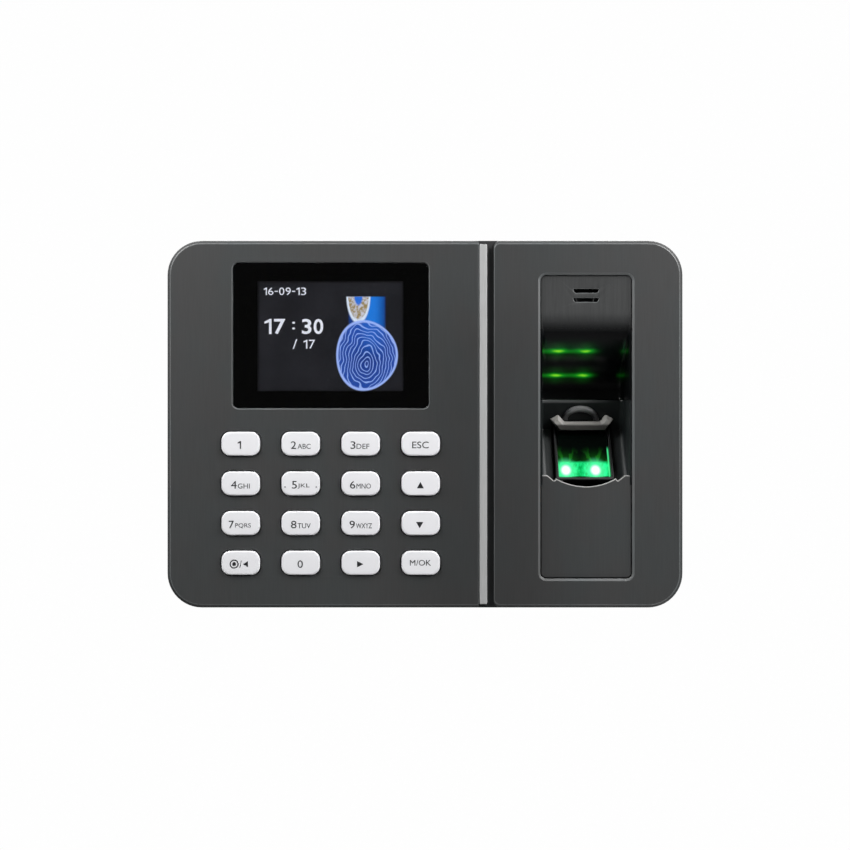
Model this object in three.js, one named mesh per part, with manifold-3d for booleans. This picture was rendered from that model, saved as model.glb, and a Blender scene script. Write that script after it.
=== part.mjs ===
// A wall-mounted fingerprint terminal: housing, display, keys, finger well with its optical sensor,
// boards and connectors, on a hooked wall plate.
// Sizes are in millimetres. +Z is up, +X is to the right for a person who faces the terminal, and the
// front faces -Y. The wall is the plane y = 0, and the housing is centred on x = 0 and z = 0.
import * as THREE from "three";
import { mergeVertices } from "three/addons/utils/BufferGeometryUtils.js";
import Module from "manifold-3d";

const wasm = await Module();
wasm.setup();

// ---------------------------------------------------------------- driving dimensions

// Housing
const WIDTH = 190;
const HEIGHT = 135.3;
const DEPTH = 36; // wall to front face
const CORNER_R = 12.7;
const WALL = 2;
const FACE_T = 2.5; // front face
const FRONT_EDGE_R = 1.4;
const BACK_EDGE_R = 3;
const FRONT_SHELL_D = 15.7; // front face to parting line
const STANDOFF = 0.6; // rear rim to wall
const LIP_T = 1; // lip of the rear shell inside the front shell
const LIP_D = 2;
const GAP = 0.3; // between pieces that touch

// Wall plate
const PLATE_T = 1.2;
const PLATE_W = 144;
const PLATE_TOP = 50; // above the centre
const PLATE_BOTTOM = -52;
const PLATE_R = 5;
const HOOK_W = 8;
const HOOK_TIP = 5; // how far a hook's tip stands up
const HOOK_X = 66;
const HOOK_Z = [36, -10]; // top faces of the hooks' arms
const LIFT_SPARE = 1; // how far the lift that frees the hooks goes past their tips
const TONGUE_W = 28; // tongue that turns forward under the housing
const FLANGE_D = 15; // how far it reaches forward
const FLANGE_SUNK = 3; // how deep it lies in the underside
const WALL_HOLE_R = 2.2;
const WALL_HOLES = [[-36, 42], [36, 42], [36, -40], [0, -40]];
const NOTCH_IN = 3; // sides of the plate's cable notch inside the connector bay's
const NOTCH_DOWN = 1; // its top below the bay's top

// Screws
const CASE_SCREW_R = 1.5;
const CASE_SCREW_L = 22;
const CASE_HEAD_R = 2.8;
const CASE_HEAD_H = 2;
const CASE_SCREW_INSET = 11; // from the housing's sides to the screw
const BOSS_T = 1.5; // wall of a boss round its hole
const LOCK_SCREW_Y = 9; // from the wall
const LOCK_SCREW_L = 8;
const LOCK_HEAD_H = 1.1;
const BOARD_SCREW_R = 1.2;
const BOARD_SCREW_L = 7;
const BOARD_HEAD_R = 2.2;
const BOARD_HEAD_H = 1.4;
const CROSS_W = 0.7; // width of the cross in a screw head
const SCREW_TIP = 0.7; // end of the shank, of its radius
const HEAD_TOP = 0.8; // flat top of a head, of its radius
const HEAD_SHOULDER = 0.6; // height of a head's side, of the head's
const CROSS_REACH = 0.6; // half length of the cross, of the head's radius
const CROSS_FLOOR = 0.4; // height of the cross's floor, of the head's

// Trim strip, in a groove that ends at the finger side's panel
const STRIP_W = 2.75;
const STRIP_PROUD = 0.2;
const GROOVE_W = 5.6;
const GROOVE_D = 1.4;
const GROOVE_FROM_RIGHT = 69.6; // housing's right side to the groove's right edge
const PANEL_R = 2; // corners of the panel beside the groove

// Display
const GLASS_W = 71.6;
const GLASS_H = 53.1;
const GLASS_R = 1.8;
const GLASS_T = 1.3;
const GLASS_FROM_LEFT = 24.5;
const GLASS_FROM_TOP = 8.45;
const SCREEN_W = 53.4; // lit area
const SCREEN_H = 40.2;
const SCREEN_IN_X = 8.9; // window's left edge to lit area
const SCREEN_IN_Z = 6.6; // window's top edge to lit area
const SCREEN_MARGIN = 1.5; // lit area to the edge of the opening in the face
const LCD_BORDER = 3.2;
const LCD_T = 2.4;
const LCD_FRAME_T = 1.2;

// Keys
const KEY_W = 14.1;
const KEY_H = 8.75;
const KEY_R = 3.2;
const KEY_EDGE_R = 0.5;
const KEY_PROUD = 0.9;
const KEY_CLEARANCE = 0.4;
const KEY_TRAVEL = 1.2;
const KEY_FLANGE = 0.9; // how far the rim behind the face stands out round the cap
const KEY_FLANGE_T = 0.8;
const KEY_PITCH_X = 22.07;
const KEY_PITCH_Z = 14.6;
const KEYS_FROM_LEFT = 27.2; // to the middle of the first column
const KEYS_FROM_BOTTOM = 16.65; // to the middle of the last row
const KEY_NAMES = [
  ["key_1", "key_2", "key_3", "key_esc"],
  ["key_4", "key_5", "key_6", "key_up"],
  ["key_7", "key_8", "key_9", "key_down"],
  ["key_power_left", "key_0", "key_right", "key_menu_ok"],
];
const MAT_T = 1;
const DOME_R = 3.5;
const DOME_H = 0.8;
const MAT_BORDER = 2.6; // mat and board beyond the outer keys' rims
const STAKE_COLUMNS = [0, 2]; // keys left of and below which a stake stands
const STAKE_ROWS = [1, 3];
const STAKE_R = 1.5; // pegs that hold the key board
const STAKE_PROUD = 0.8; // how far they stand out of it

// Finger well
const WELL_W = 33.8;
const WELL_H = 111.8;
const WELL_R = 2.1;
const WELL_FROM_RIGHT = 18.7;
const WELL_FROM_TOP = 12.75;
const WELL_SUNK = 0.8; // liner and cover below the face
const WELL_RIM = 0.5; // thickness of the liner's side walls where they pass the face
const WELL_FLANGE = 0.8; // how far liner and cover reach behind the face
const WELL_FLANGE_T = 1.5;
const LINER_T = 1.7;
const SCOOP_FROM_TOP = 13.5; // where the scoop starts, below the well's top
const SCOOP_BULGE = 12; // how long the scoop's curve stays upright at each end
const SCOOP_D = 16; // front face to the scoop's back
const LEDGE_FROM_TOP = 45.7;
const COVER_FROM_TOP = 73.8; // side ends of the lower cover's top edge
const COVER_NOTCH = 2; // depth of the two notches beside the finger dip
const COVER_NOTCH_X = 12; // from the middle to the notches
const COVER_DIP_W = 21.8;
const COVER_DIP_D = 4.2; // dip's lowest point below the side ends
const SLOT_W = 9.1;
const SLOT_H = 1.45;
const SLOT_PITCH = 3.37;
const SLOT_FROM_TOP = 5.75;
const SLOT_COUNT = 2;
const SPEAKER_W = 20;
const SPEAKER_H = 9;
const SPEAKER_T = 4;
const SPEAKER_R = 2;
const SPEAKER_RIM = 1; // frame round the cone, and how deep the cone lies

// Sensor, in its own frame: its glass is upright there and faces -y
const SENSOR_TILT = THREE.MathUtils.degToRad(36.6);
const SENSOR_D = 10.3; // front face to the middle of the glass
const SENSOR_FROM_TOP = 65.45; // well's top to the middle of the glass
const PRISM_W = 18.8;
const PRISM_L = 21.8;
const PRISM_T = 7.5;
const PRISM_BACK_L = 16;
const SENSOR_WALL = 1.1;
const SENSOR_BEHIND = 2; // liner's slope behind the glass
const LED_SPREAD = 5.7; // from the middle to each lamp
const LED_R = 1.5;
const LED_T = 1.3;
const LED_DOME = [[0, 1], [0.6, 0.85], [1, 0.4], [1, 0], [0, 0]]; // shares of its radius and height
const LED_Z = -2;
const LED_BOARD_T = 1;
const LED_BOARD_GAP = 2.3; // prism to lamp board
const PORT_R = 3.4; // view hole in the lamp board
const BARREL_R = 4;
const BARREL_L = 5.5;
const LENS_R = 2.4; // recess for the lens in the barrel's end
const LENS_SUNK = 1.8;
const CAMERA_BOARD_W = 18;
const CAMERA_BOARD_H = 14;
const CAMERA_BOARD_T = 1.2;
const HOOD_W = 24.6;
const HOOD_T = 2.2;
const HOOD_BAR_H = 3.2;
const HOOD_FOOT_W = 18;
const HOOD_FOOT_H = 3.4;
const HOOD_ARCH_R = 7.3;
const HOOD_ARCH_H = 6.2;
const HOOD_ARCH_FROM = 0.3; // radians from level where the arch leaves the bar
const HOOD_FROM_TOP = 56.7; // well's top to the hood's foot

// Boards and connectors
const PCB_T = 1.6;
const BOARD_FROM_LEFT = 7;
const BOARD_RIGHT = 28;
const BOARD_TOP = 50;
const BOARD_Y = -16.4; // face towards the wall
const BOARD_POST_IN = 8; // board's side edges to its posts
const BOARD_POSTS_Z = [42, -30];
const BOARD_POST_R = 3;
const BAY_X = [-62, -20]; // connector bay, open at the back and underneath
const BAY_TOP = -40;
const BAY_D = 17; // from the wall
const BAY_WALL = 2;
const JACK_PROUD = 0.6; // how far the jacks reach into the bay
const JACK_CLEARANCE = 0.4;
const ETHERNET_W = 16;
const ETHERNET_T = 11.7;
const ETHERNET_L = 21;
const ETHERNET_X = -51.5;
const PLUG_W = 11.9;
const PLUG_T = 7.2;
const PLUG_D = 13;
const LATCH_W = 6.2;
const LATCH_T = 2.1;
const POWER_W = 9;
const POWER_T = 11;
const POWER_L = 14;
const POWER_X = -36;
const POWER_HOLE_R = 3.2;
const POWER_HOLE_D = 10;
const POWER_PIN_R = 1;
const USB_W = 13.1;
const USB_T = 5.7;
const USB_L = 14;
const USB_Z = -5;
const USB_SKIN = 0.4;
const USB_TONGUE_T = 1.8;
const USB_TONGUE_L = 10;
const USB_MOUTH_IN = 0.4; // socket's mouth inside the housing's side
const RESET_X = -26;
const RESET_R = 1.5;
const RESET_PROUD = 1;
const RESET_TRAVEL = 0.5;
const SWITCH_W = 6;
const SWITCH_T = 3.5;
const TAMPER_X = 20;
const TAMPER_Z = 26;
const TAMPER_R = 2;
const TAMPER_ROOM = 1; // round the plunger in the plate's slot
const TAMPER_TRAVEL = 1.5;
const TAMPER_SWITCH_T = 5;
const TAMPER_COLLAR_R = 3.2;
const TAMPER_COLLAR_T = 1;
const CHIP_W = 14;
const CHIP_T = 1.2;
const CHIP_AT = [-10, 30];
const MEMORY_W = 8;
const MEMORY_H = 12;
const MEMORY_IN = 30; // board's left edge to the memory chip's middle
const MEMORY_Z = 32;
const CELL_R = 10;
const CELL_T = 3.2;
const CELL_AT = [-5, 35];
const RIBBON_T = 0.3;
const RIBBON_W = 12;
const RIBBON_LEAD = 1; // how far a ribbon runs along its first board's face
const RIBBON_BEND = 2; // how far it stands off where it bends
const SENSOR_RIBBON_W = 6;

// How finely round shapes are cut
const HOUSING_STEPS = 8;
const CORNER_STEPS = 3;
const SMALL_CORNER_STEPS = 2;
const EDGE_STEPS = 2;
const ROUND_SIDES = 12;
const CURVE_STEPS = 8;
const MERGE = 1e-4;
const BEYOND = 1; // how far a cutting shape reaches past what it cuts

// ---------------------------------------------------------------- places that follow from them

const LEFT = -WIDTH / 2;
const RIGHT = WIDTH / 2;
const TOP = HEIGHT / 2;
const BOTTOM = -HEIGHT / 2;
const FRONT = -DEPTH;
const FACE_BACK = FRONT + FACE_T;
const PARTING = FRONT + FRONT_SHELL_D;
const REAR_FRONT = PARTING + GAP; // rear shell's front rim
const REAR_RIM = -STANDOFF;
const POCKET = -(PLATE_T + GAP); // floor of the pocket that holds the wall plate
const REAR_INSIDE = POCKET - WALL; // inner face of the rear wall
const LIFT = HOOK_TIP + LIFT_SPARE;

const GROOVE_X1 = RIGHT - GROOVE_FROM_RIGHT;
const GROOVE_X0 = GROOVE_X1 - GROOVE_W;

const glass = {
  x0: LEFT + GLASS_FROM_LEFT,
  x1: LEFT + GLASS_FROM_LEFT + GLASS_W,
  z0: TOP - GLASS_FROM_TOP - GLASS_H,
  z1: TOP - GLASS_FROM_TOP,
};
const screen = {
  x0: glass.x0 + SCREEN_IN_X,
  x1: glass.x0 + SCREEN_IN_X + SCREEN_W,
  z0: glass.z1 - SCREEN_IN_Z - SCREEN_H,
  z1: glass.z1 - SCREEN_IN_Z,
};
const lcd = grown(screen, LCD_BORDER);

const KEY_BACK = FACE_BACK + GAP + KEY_FLANGE_T; // back of a key at rest
const DOME_TOP = KEY_BACK + KEY_TRAVEL + GAP;
const MAT_FRONT = DOME_TOP + DOME_H;
const KEY_BOARD_FRONT = MAT_FRONT + MAT_T + GAP;
const KEY_BOARD_BACK = KEY_BOARD_FRONT + PCB_T;
const keyX = (column) => LEFT + KEYS_FROM_LEFT + column * KEY_PITCH_X;
const keyZ = (row) => BOTTOM + KEYS_FROM_BOTTOM + (KEY_NAMES.length - 1 - row) * KEY_PITCH_Z;
const COLUMNS = KEY_NAMES[0].length;
const ROWS = KEY_NAMES.length;
const keyMiddles = { x0: keyX(0), x1: keyX(COLUMNS - 1), z0: keyZ(ROWS - 1), z1: keyZ(0) };
const keyField = {
  x0: keyMiddles.x0 - KEY_W / 2 - KEY_FLANGE - MAT_BORDER,
  x1: keyMiddles.x1 + KEY_W / 2 + KEY_FLANGE + MAT_BORDER,
  z0: keyMiddles.z0 - KEY_H / 2 - KEY_FLANGE - MAT_BORDER,
  z1: keyMiddles.z1 + KEY_H / 2 + KEY_FLANGE + MAT_BORDER,
};
const stakes = STAKE_COLUMNS.flatMap((column) =>
  STAKE_ROWS.map((row) => [keyX(column) + KEY_PITCH_X / 2, keyZ(row) + KEY_PITCH_Z / 2]),
);

const well = {
  x0: RIGHT - WELL_FROM_RIGHT - WELL_W,
  x1: RIGHT - WELL_FROM_RIGHT,
  z0: TOP - WELL_FROM_TOP - WELL_H,
  z1: TOP - WELL_FROM_TOP,
};
const WELL_X = (well.x0 + well.x1) / 2;
const WELL_FACE = FRONT + WELL_SUNK;
const FLANGE_FRONT = FACE_BACK + GAP;
const FLANGE_BACK = FLANGE_FRONT + WELL_FLANGE_T;
const COVER_Z = well.z1 - COVER_FROM_TOP;
const SENSOR_Y = FRONT + SENSOR_D;
const SENSOR_Z = well.z1 - SENSOR_FROM_TOP;

const caseScrews = [LEFT + CASE_SCREW_INSET, RIGHT - CASE_SCREW_INSET].flatMap((x) =>
  [TOP - CASE_SCREW_INSET, BOTTOM + CASE_SCREW_INSET].map((z) => [x, z]),
);
const SCREW_SEAT = POCKET - WALL - CASE_HEAD_H; // what a case screw's head rests on
const FLANGE_TOP = BOTTOM + FLANGE_SUNK;
const BOARD_BOTTOM = BAY_TOP + BAY_WALL + GAP;
const BOARD_FRONT = BOARD_Y - PCB_T;
const BOARD_LEFT = LEFT + BOARD_FROM_LEFT;
const boardPosts = [BOARD_LEFT + BOARD_POST_IN, BOARD_RIGHT - BOARD_POST_IN].flatMap((x) =>
  BOARD_POSTS_Z.map((z) => [x, z]),
);

// ---------------------------------------------------------------- shapes

// A rectangle made larger, or smaller, on every side.
function grown(rect, by) {
  return { x0: rect.x0 - by, x1: rect.x1 + by, z0: rect.z0 - by, z1: rect.z1 + by };
}

function centred(x, z, width, height) {
  return { x0: x - width / 2, x1: x + width / 2, z0: z - height / 2, z1: z + height / 2 };
}

function outline(rect, r = 0, steps = CORNER_STEPS) {
  const { x0, x1, z0, z1 } = rect;
  const shape = new THREE.Shape();
  if (r <= 0) {
    return new THREE.Shape([[x0, z0], [x1, z0], [x1, z1], [x0, z1]].map(([x, z]) => new THREE.Vector2(x, z)));
  }
  const corners = [[x1 - r, z0 + r, -1], [x1 - r, z1 - r, 0], [x0 + r, z1 - r, 1], [x0 + r, z0 + r, 2]];
  const points = corners.flatMap(([x, z, quarter]) =>
    Array.from({ length: steps + 1 }, (_, i) => {
      const angle = ((quarter + i / steps) * Math.PI) / 2;
      return new THREE.Vector2(x + r * Math.cos(angle), z + r * Math.sin(angle));
    }),
  );
  return shape.setFromPoints(points);
}

const housingOutline = (inset) => {
  const rect = grown({ x0: LEFT, x1: RIGHT, z0: BOTTOM, z1: TOP }, -inset);
  return outline(rect, CORNER_R - inset, HOUSING_STEPS);
};

// A closed geometry as a solid that can be joined and cut.
function solid(geometry) {
  const bare = geometry.clone();
  bare.deleteAttribute("normal");
  bare.deleteAttribute("uv");
  const merged = mergeVertices(bare, MERGE);
  const index = merged.index.array;
  const kept = [];
  for (let i = 0; i < index.length; i += 3) {
    const [a, b, c] = [index[i], index[i + 1], index[i + 2]];
    if (a !== b && b !== c && c !== a) kept.push(a, b, c);
  }
  const { array } = merged.attributes.position;
  return new wasm.Manifold(
    new wasm.Mesh({ numProp: 3, vertProperties: array, triVerts: new Uint32Array(kept) }),
  );
}

const joined = (shapes) => shapes.reduce((whole, shape) => whole.add(shape));
const cut = (whole, shapes) => (shapes.length ? whole.subtract(joined(shapes)) : whole);

const AXIS_X = new THREE.Vector3(1, 0, 0);
const AXIS_Y = new THREE.Vector3(0, 1, 0);
const AXIS_Z = new THREE.Vector3(0, 0, 1);
const FACING = new THREE.Matrix4().makeBasis(AXIS_X, AXIS_Z, AXIS_Y.clone().negate());
const SIDEWAYS = new THREE.Matrix4().makeBasis(AXIS_Y, AXIS_Z, AXIS_X);

// An outline drawn in x and z, from one y to another.
function slab(shape, y0, y1, steps = CORNER_STEPS) {
  const geometry = new THREE.ExtrudeGeometry(shape, {
    depth: Math.abs(y1 - y0),
    bevelEnabled: false,
    curveSegments: steps,
  });
  return solid(geometry.applyMatrix4(FACING).translate(0, Math.max(y0, y1), 0));
}

// The same with a rounded edge at the y given last.
function roundedSlab(shape, yPlain, yRound, edge) {
  const back = Math.max(yPlain, yRound) + (yPlain > yRound ? edge : 0);
  const front = Math.min(yPlain, yRound) - (yPlain < yRound ? edge : 0);
  const geometry = new THREE.ExtrudeGeometry(shape, {
    depth: back - front - 2 * edge,
    bevelThickness: edge,
    bevelSize: edge,
    bevelOffset: -edge,
    bevelSegments: EDGE_STEPS,
  });
  const whole = solid(geometry.applyMatrix4(FACING).translate(0, back - edge, 0));
  const rest = yPlain > yRound ? [yPlain, back + BEYOND] : [front - BEYOND, yPlain];
  return whole.subtract(box([-WIDTH, WIDTH], rest, [-HEIGHT, HEIGHT]));
}

// An outline drawn in y and z, from one x to another.
function sideSlab(shape, x0, x1) {
  const geometry = new THREE.ExtrudeGeometry(shape, {
    depth: x1 - x0,
    bevelEnabled: false,
    curveSegments: CURVE_STEPS,
  });
  return solid(geometry.applyMatrix4(SIDEWAYS).translate(x0, 0, 0));
}

function box([x0, x1], [y0, y1], [z0, z1]) {
  const geometry = new THREE.BoxGeometry(x1 - x0, y1 - y0, z1 - z0);
  return solid(geometry.translate((x0 + x1) / 2, (y0 + y1) / 2, (z0 + z1) / 2));
}

// Round bars along each axis.
function rodY([x, z], r, [y0, y1], sides = ROUND_SIDES) {
  const geometry = new THREE.CylinderGeometry(r, r, y1 - y0, sides);
  return solid(geometry.translate(x, (y0 + y1) / 2, z));
}

function rodZ([x, y], r, [z0, z1], sides = ROUND_SIDES) {
  const geometry = new THREE.CylinderGeometry(r, r, z1 - z0, sides);
  return solid(geometry.rotateX(Math.PI / 2).translate(x, y, (z0 + z1) / 2));
}

// A flat ribbon whose middle follows a curve in the plane of first and second coordinates.
function ribbonOutline(points) {
  const curve = new THREE.SplineCurve(points.map(([a, b]) => new THREE.Vector2(a, b)));
  const along = Array.from({ length: CURVE_STEPS + 1 }, (_, i) => i / CURVE_STEPS);
  const side = (sign) =>
    along.map((t) => {
      const tangent = curve.getTangent(t);
      const across = new THREE.Vector2(-tangent.y, tangent.x);
      return curve.getPoint(t).addScaledVector(across, (sign * RIBBON_T) / 2);
    });
  return new THREE.Shape([...side(-1), ...side(1).reverse()]);
}

// A cross-head screw whose head's underside is at y = 0 and whose shank points to -y.
function screw(r, length, headR, headH) {
  const profile = [[0, -length], [r * SCREW_TIP, -length], [r, -length + r], [r, 0], [headR, 0]];
  profile.push([headR, headH * HEAD_SHOULDER], [headR * HEAD_TOP, headH], [0, headH]);
  const points = profile.map(([x, y]) => new THREE.Vector2(x, y));
  const body = solid(new THREE.LatheGeometry(points, ROUND_SIDES));
  const arm = headR * CROSS_REACH;
  const depth = [headH * CROSS_FLOOR, headH + BEYOND];
  const cross = [
    box([-arm, arm], depth, [-CROSS_W / 2, CROSS_W / 2]),
    box([-CROSS_W / 2, CROSS_W / 2], depth, [-arm, arm]),
  ];
  return cut(body, cross);
}

// ---------------------------------------------------------------- materials

const FINISHES = {
  body: { color: 0x35373a, roughness: 0.45, metalness: 0.25 },
  rear: { color: 0x2c2e30, roughness: 0.6, metalness: 0 },
  silver: { color: 0xb9bcbe, roughness: 0.3, metalness: 0.9 },
  steel: { color: 0x9fa2a4, roughness: 0.35, metalness: 0.9 },
  window: { color: 0x050506, roughness: 0.08, metalness: 0 },
  screen: { color: 0x20242c, roughness: 0.3, metalness: 0 },
  key: { color: 0xf0f0f2, roughness: 0.4, metalness: 0 },
  gloss: { color: 0x08090a, roughness: 0.12, metalness: 0 },
  black: { color: 0x151516, roughness: 0.5, metalness: 0 },
  glass: { color: 0x1c3a26, roughness: 0.05, metalness: 0 },
  lamp: { color: 0x35ff5a, roughness: 0.3, metalness: 0 },
  rubber: { color: 0x8b8d90, roughness: 0.8, metalness: 0 },
  board: { color: 0x1d5a33, roughness: 0.5, metalness: 0 },
  ribbon: { color: 0xb9752b, roughness: 0.5, metalness: 0 },
};

function piece(parent, name, shape, finish) {
  const { vertProperties, triVerts } = shape.getMesh();
  const geometry = new THREE.BufferGeometry();
  geometry.setAttribute("position", new THREE.BufferAttribute(new Float32Array(vertProperties), 3));
  geometry.setIndex(new THREE.BufferAttribute(triVerts, 1));
  const material = new THREE.MeshStandardMaterial({ ...FINISHES[finish], flatShading: true });
  const mesh = new THREE.Mesh(geometry, material);
  mesh.name = name;
  parent.add(mesh);
  return mesh;
}

// ---------------------------------------------------------------- wall plate

const hooks = [-HOOK_X, HOOK_X].flatMap((x) => HOOK_Z.map((z) => [x, z]));

// One hook: an arm that reaches through the rear wall, and a tip that stands up behind it.
function hook([x, z]) {
  const reach = REAR_INSIDE - GAP - PLATE_T;
  const across = [x - HOOK_W / 2, x + HOOK_W / 2];
  const arm = box(across, [reach, -PLATE_T / 2], [z - PLATE_T, z]);
  const tip = box(across, [reach, reach + PLATE_T], [z - PLATE_T, z + HOOK_TIP]);
  return arm.add(tip);
}

function wallPlate() {
  const main = { x0: -PLATE_W / 2, x1: PLATE_W / 2, z0: PLATE_BOTTOM, z1: PLATE_TOP };
  const bottom = FLANGE_TOP - GAP;
  const tongue = box([-TONGUE_W / 2, TONGUE_W / 2], [-PLATE_T, 0], [bottom - PLATE_T, PLATE_BOTTOM + BEYOND]);
  const flange = box([-TONGUE_W / 2, TONGUE_W / 2], [-FLANGE_D, 0], [bottom - PLATE_T, bottom]);
  const slotW = 2 * (TAMPER_R + TAMPER_ROOM);
  const tamperSlot = centred(TAMPER_X, TAMPER_Z + LIFT / 2, slotW, slotW + LIFT);
  const cuts = [
    ...WALL_HOLES.map((at) => rodY(at, WALL_HOLE_R, [-PLATE_T - BEYOND, BEYOND])),
    box(
      [BAY_X[0] + NOTCH_IN, BAY_X[1] - NOTCH_IN],
      [-PLATE_T - BEYOND, BEYOND],
      [PLATE_BOTTOM - BEYOND, BAY_TOP - NOTCH_DOWN],
    ),
    slab(outline(tamperSlot, TAMPER_R, SMALL_CORNER_STEPS), -PLATE_T - BEYOND, BEYOND),
    rodZ([0, -LOCK_SCREW_Y], CASE_SCREW_R + GAP, [bottom - PLATE_T - BEYOND, bottom + BEYOND]),
  ];
  const plate = slab(outline(main, PLATE_R), -PLATE_T, 0);
  return cut(joined([plate, tongue, flange, ...hooks.map(hook)]), cuts);
}

// ---------------------------------------------------------------- housing shells

function rearShell() {
  const shell = roundedSlab(housingOutline(0), REAR_FRONT, REAR_RIM, BACK_EDGE_R);
  const inside = slab(housingOutline(WALL), REAR_FRONT - BEYOND, REAR_INSIDE);
  const lipFront = REAR_FRONT - LIP_D;
  const lipRing = slab(housingOutline(WALL + GAP), lipFront, REAR_FRONT + LIP_D);
  const lipInside = slab(housingOutline(WALL + GAP + LIP_T), lipFront - BEYOND, REAR_FRONT + LIP_D);
  const lip = lipRing.subtract(lipInside);
  const bossR = CASE_HEAD_R + GAP + BOSS_T;
  const bosses = caseScrews.map((at) => rodY(at, bossR, [REAR_FRONT, REAR_INSIDE + WALL / 2]));
  const posts = boardPosts.map((at) => rodY(at, BOARD_POST_R, [BOARD_Y + GAP, REAR_INSIDE + WALL / 2]));
  const bayWalls = box(
    [BAY_X[0] - BAY_WALL, BAY_X[1] + BAY_WALL],
    [-BAY_D - BAY_WALL, REAR_INSIDE + WALL / 2],
    [BOTTOM + WALL / 2, BAY_TOP + BAY_WALL],
  );
  const recess = { x: TONGUE_W / 2 + GAP, y: -FLANGE_D - GAP };
  const stepWall = box(
    [-recess.x - WALL, recess.x + WALL],
    [recess.y - WALL, REAR_INSIDE + WALL / 2],
    [BOTTOM + WALL / 2, FLANGE_TOP + WALL],
  );
  const lockBoss = rodZ(
    [0, -LOCK_SCREW_Y],
    CASE_SCREW_R + GAP + BOSS_T,
    [FLANGE_TOP + WALL / 2, FLANGE_TOP + LOCK_SCREW_L + GAP],
  );
  const solidParts = [shell.subtract(inside), lip, ...bosses, ...posts, bayWalls, stepWall, lockBoss];
  return cut(joined(solidParts), rearCuts(recess));
}

function rearCuts(recess) {
  const pocket = {
    x0: -PLATE_W / 2 - GAP,
    x1: PLATE_W / 2 + GAP,
    z0: PLATE_BOTTOM - LIFT - GAP,
    z1: PLATE_TOP + GAP,
  };
  const slots = hooks.map(([x, z]) =>
    box(
      [x - HOOK_W / 2 - GAP, x + HOOK_W / 2 + GAP],
      [REAR_INSIDE - BEYOND, BEYOND],
      [z - PLATE_T - LIFT - GAP, z + GAP],
    ),
  );
  const usbHole = box(
    [LEFT - BEYOND, LEFT + WALL + BEYOND],
    [BOARD_Y + GAP - JACK_CLEARANCE, BOARD_Y + GAP + USB_T + JACK_CLEARANCE],
    [USB_Z - USB_W / 2 - JACK_CLEARANCE, USB_Z + USB_W / 2 + JACK_CLEARANCE],
  );
  const throughBay = [BAY_TOP - BEYOND, BAY_TOP + BAY_WALL + BEYOND];
  const jackHole = (x, width, depth) =>
    box(
      [x - width / 2 - JACK_CLEARANCE, x + width / 2 + JACK_CLEARANCE],
      [BOARD_Y + GAP - JACK_CLEARANCE, BOARD_Y + GAP + depth + JACK_CLEARANCE],
      throughBay,
    );
  return [
    slab(outline(pocket, PLATE_R), POCKET, BEYOND),
    box([-recess.x, recess.x], [POCKET, BEYOND], [BOTTOM - BEYOND, pocket.z0 + PLATE_R]),
    box([-recess.x, recess.x], [recess.y, BEYOND], [BOTTOM - BEYOND, FLANGE_TOP]),
    box(BAY_X, [-BAY_D, BEYOND], [BOTTOM - BEYOND, BAY_TOP]),
    jackHole(ETHERNET_X, ETHERNET_W, ETHERNET_T),
    jackHole(POWER_X, POWER_W, POWER_T),
    rodZ([RESET_X, resetY()], RESET_R + GAP, throughBay),
    usbHole,
    ...slots,
    ...caseScrews.map((at) => rodY(at, CASE_SCREW_R + GAP, [REAR_FRONT - BEYOND, BEYOND])),
    ...caseScrews.map((at) => rodY(at, CASE_HEAD_R + GAP, [SCREW_SEAT, BEYOND])),
    ...boardPosts.map((at) => rodY(at, BOARD_SCREW_R + GAP, [BOARD_Y - BEYOND, REAR_INSIDE - WALL])),
    rodY([TAMPER_X, TAMPER_Z], TAMPER_R + GAP, [REAR_INSIDE - BEYOND, BEYOND]),
    rodZ([0, -LOCK_SCREW_Y], CASE_SCREW_R + GAP, [BOTTOM, FLANGE_TOP + LOCK_SCREW_L + 2 * GAP + BEYOND]),
  ];
}

// The groove's right side turns outwards at both ends, which rounds the finger side's panel.
function grooveOutline() {
  const [z0, z1] = [BOTTOM + FRONT_EDGE_R + PANEL_R, TOP - FRONT_EDGE_R - PANEL_R];
  const shape = new THREE.Shape();
  shape.moveTo(GROOVE_X0, BOTTOM - BEYOND);
  shape.lineTo(GROOVE_X1 + PANEL_R, BOTTOM - BEYOND);
  shape.absarc(GROOVE_X1 + PANEL_R, z0, PANEL_R, -Math.PI / 2, -Math.PI, true);
  shape.absarc(GROOVE_X1 + PANEL_R, z1, PANEL_R, Math.PI, Math.PI / 2, true);
  shape.lineTo(GROOVE_X1 + PANEL_R, TOP + BEYOND);
  shape.lineTo(GROOVE_X0, TOP + BEYOND);
  return shape;
}

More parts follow.
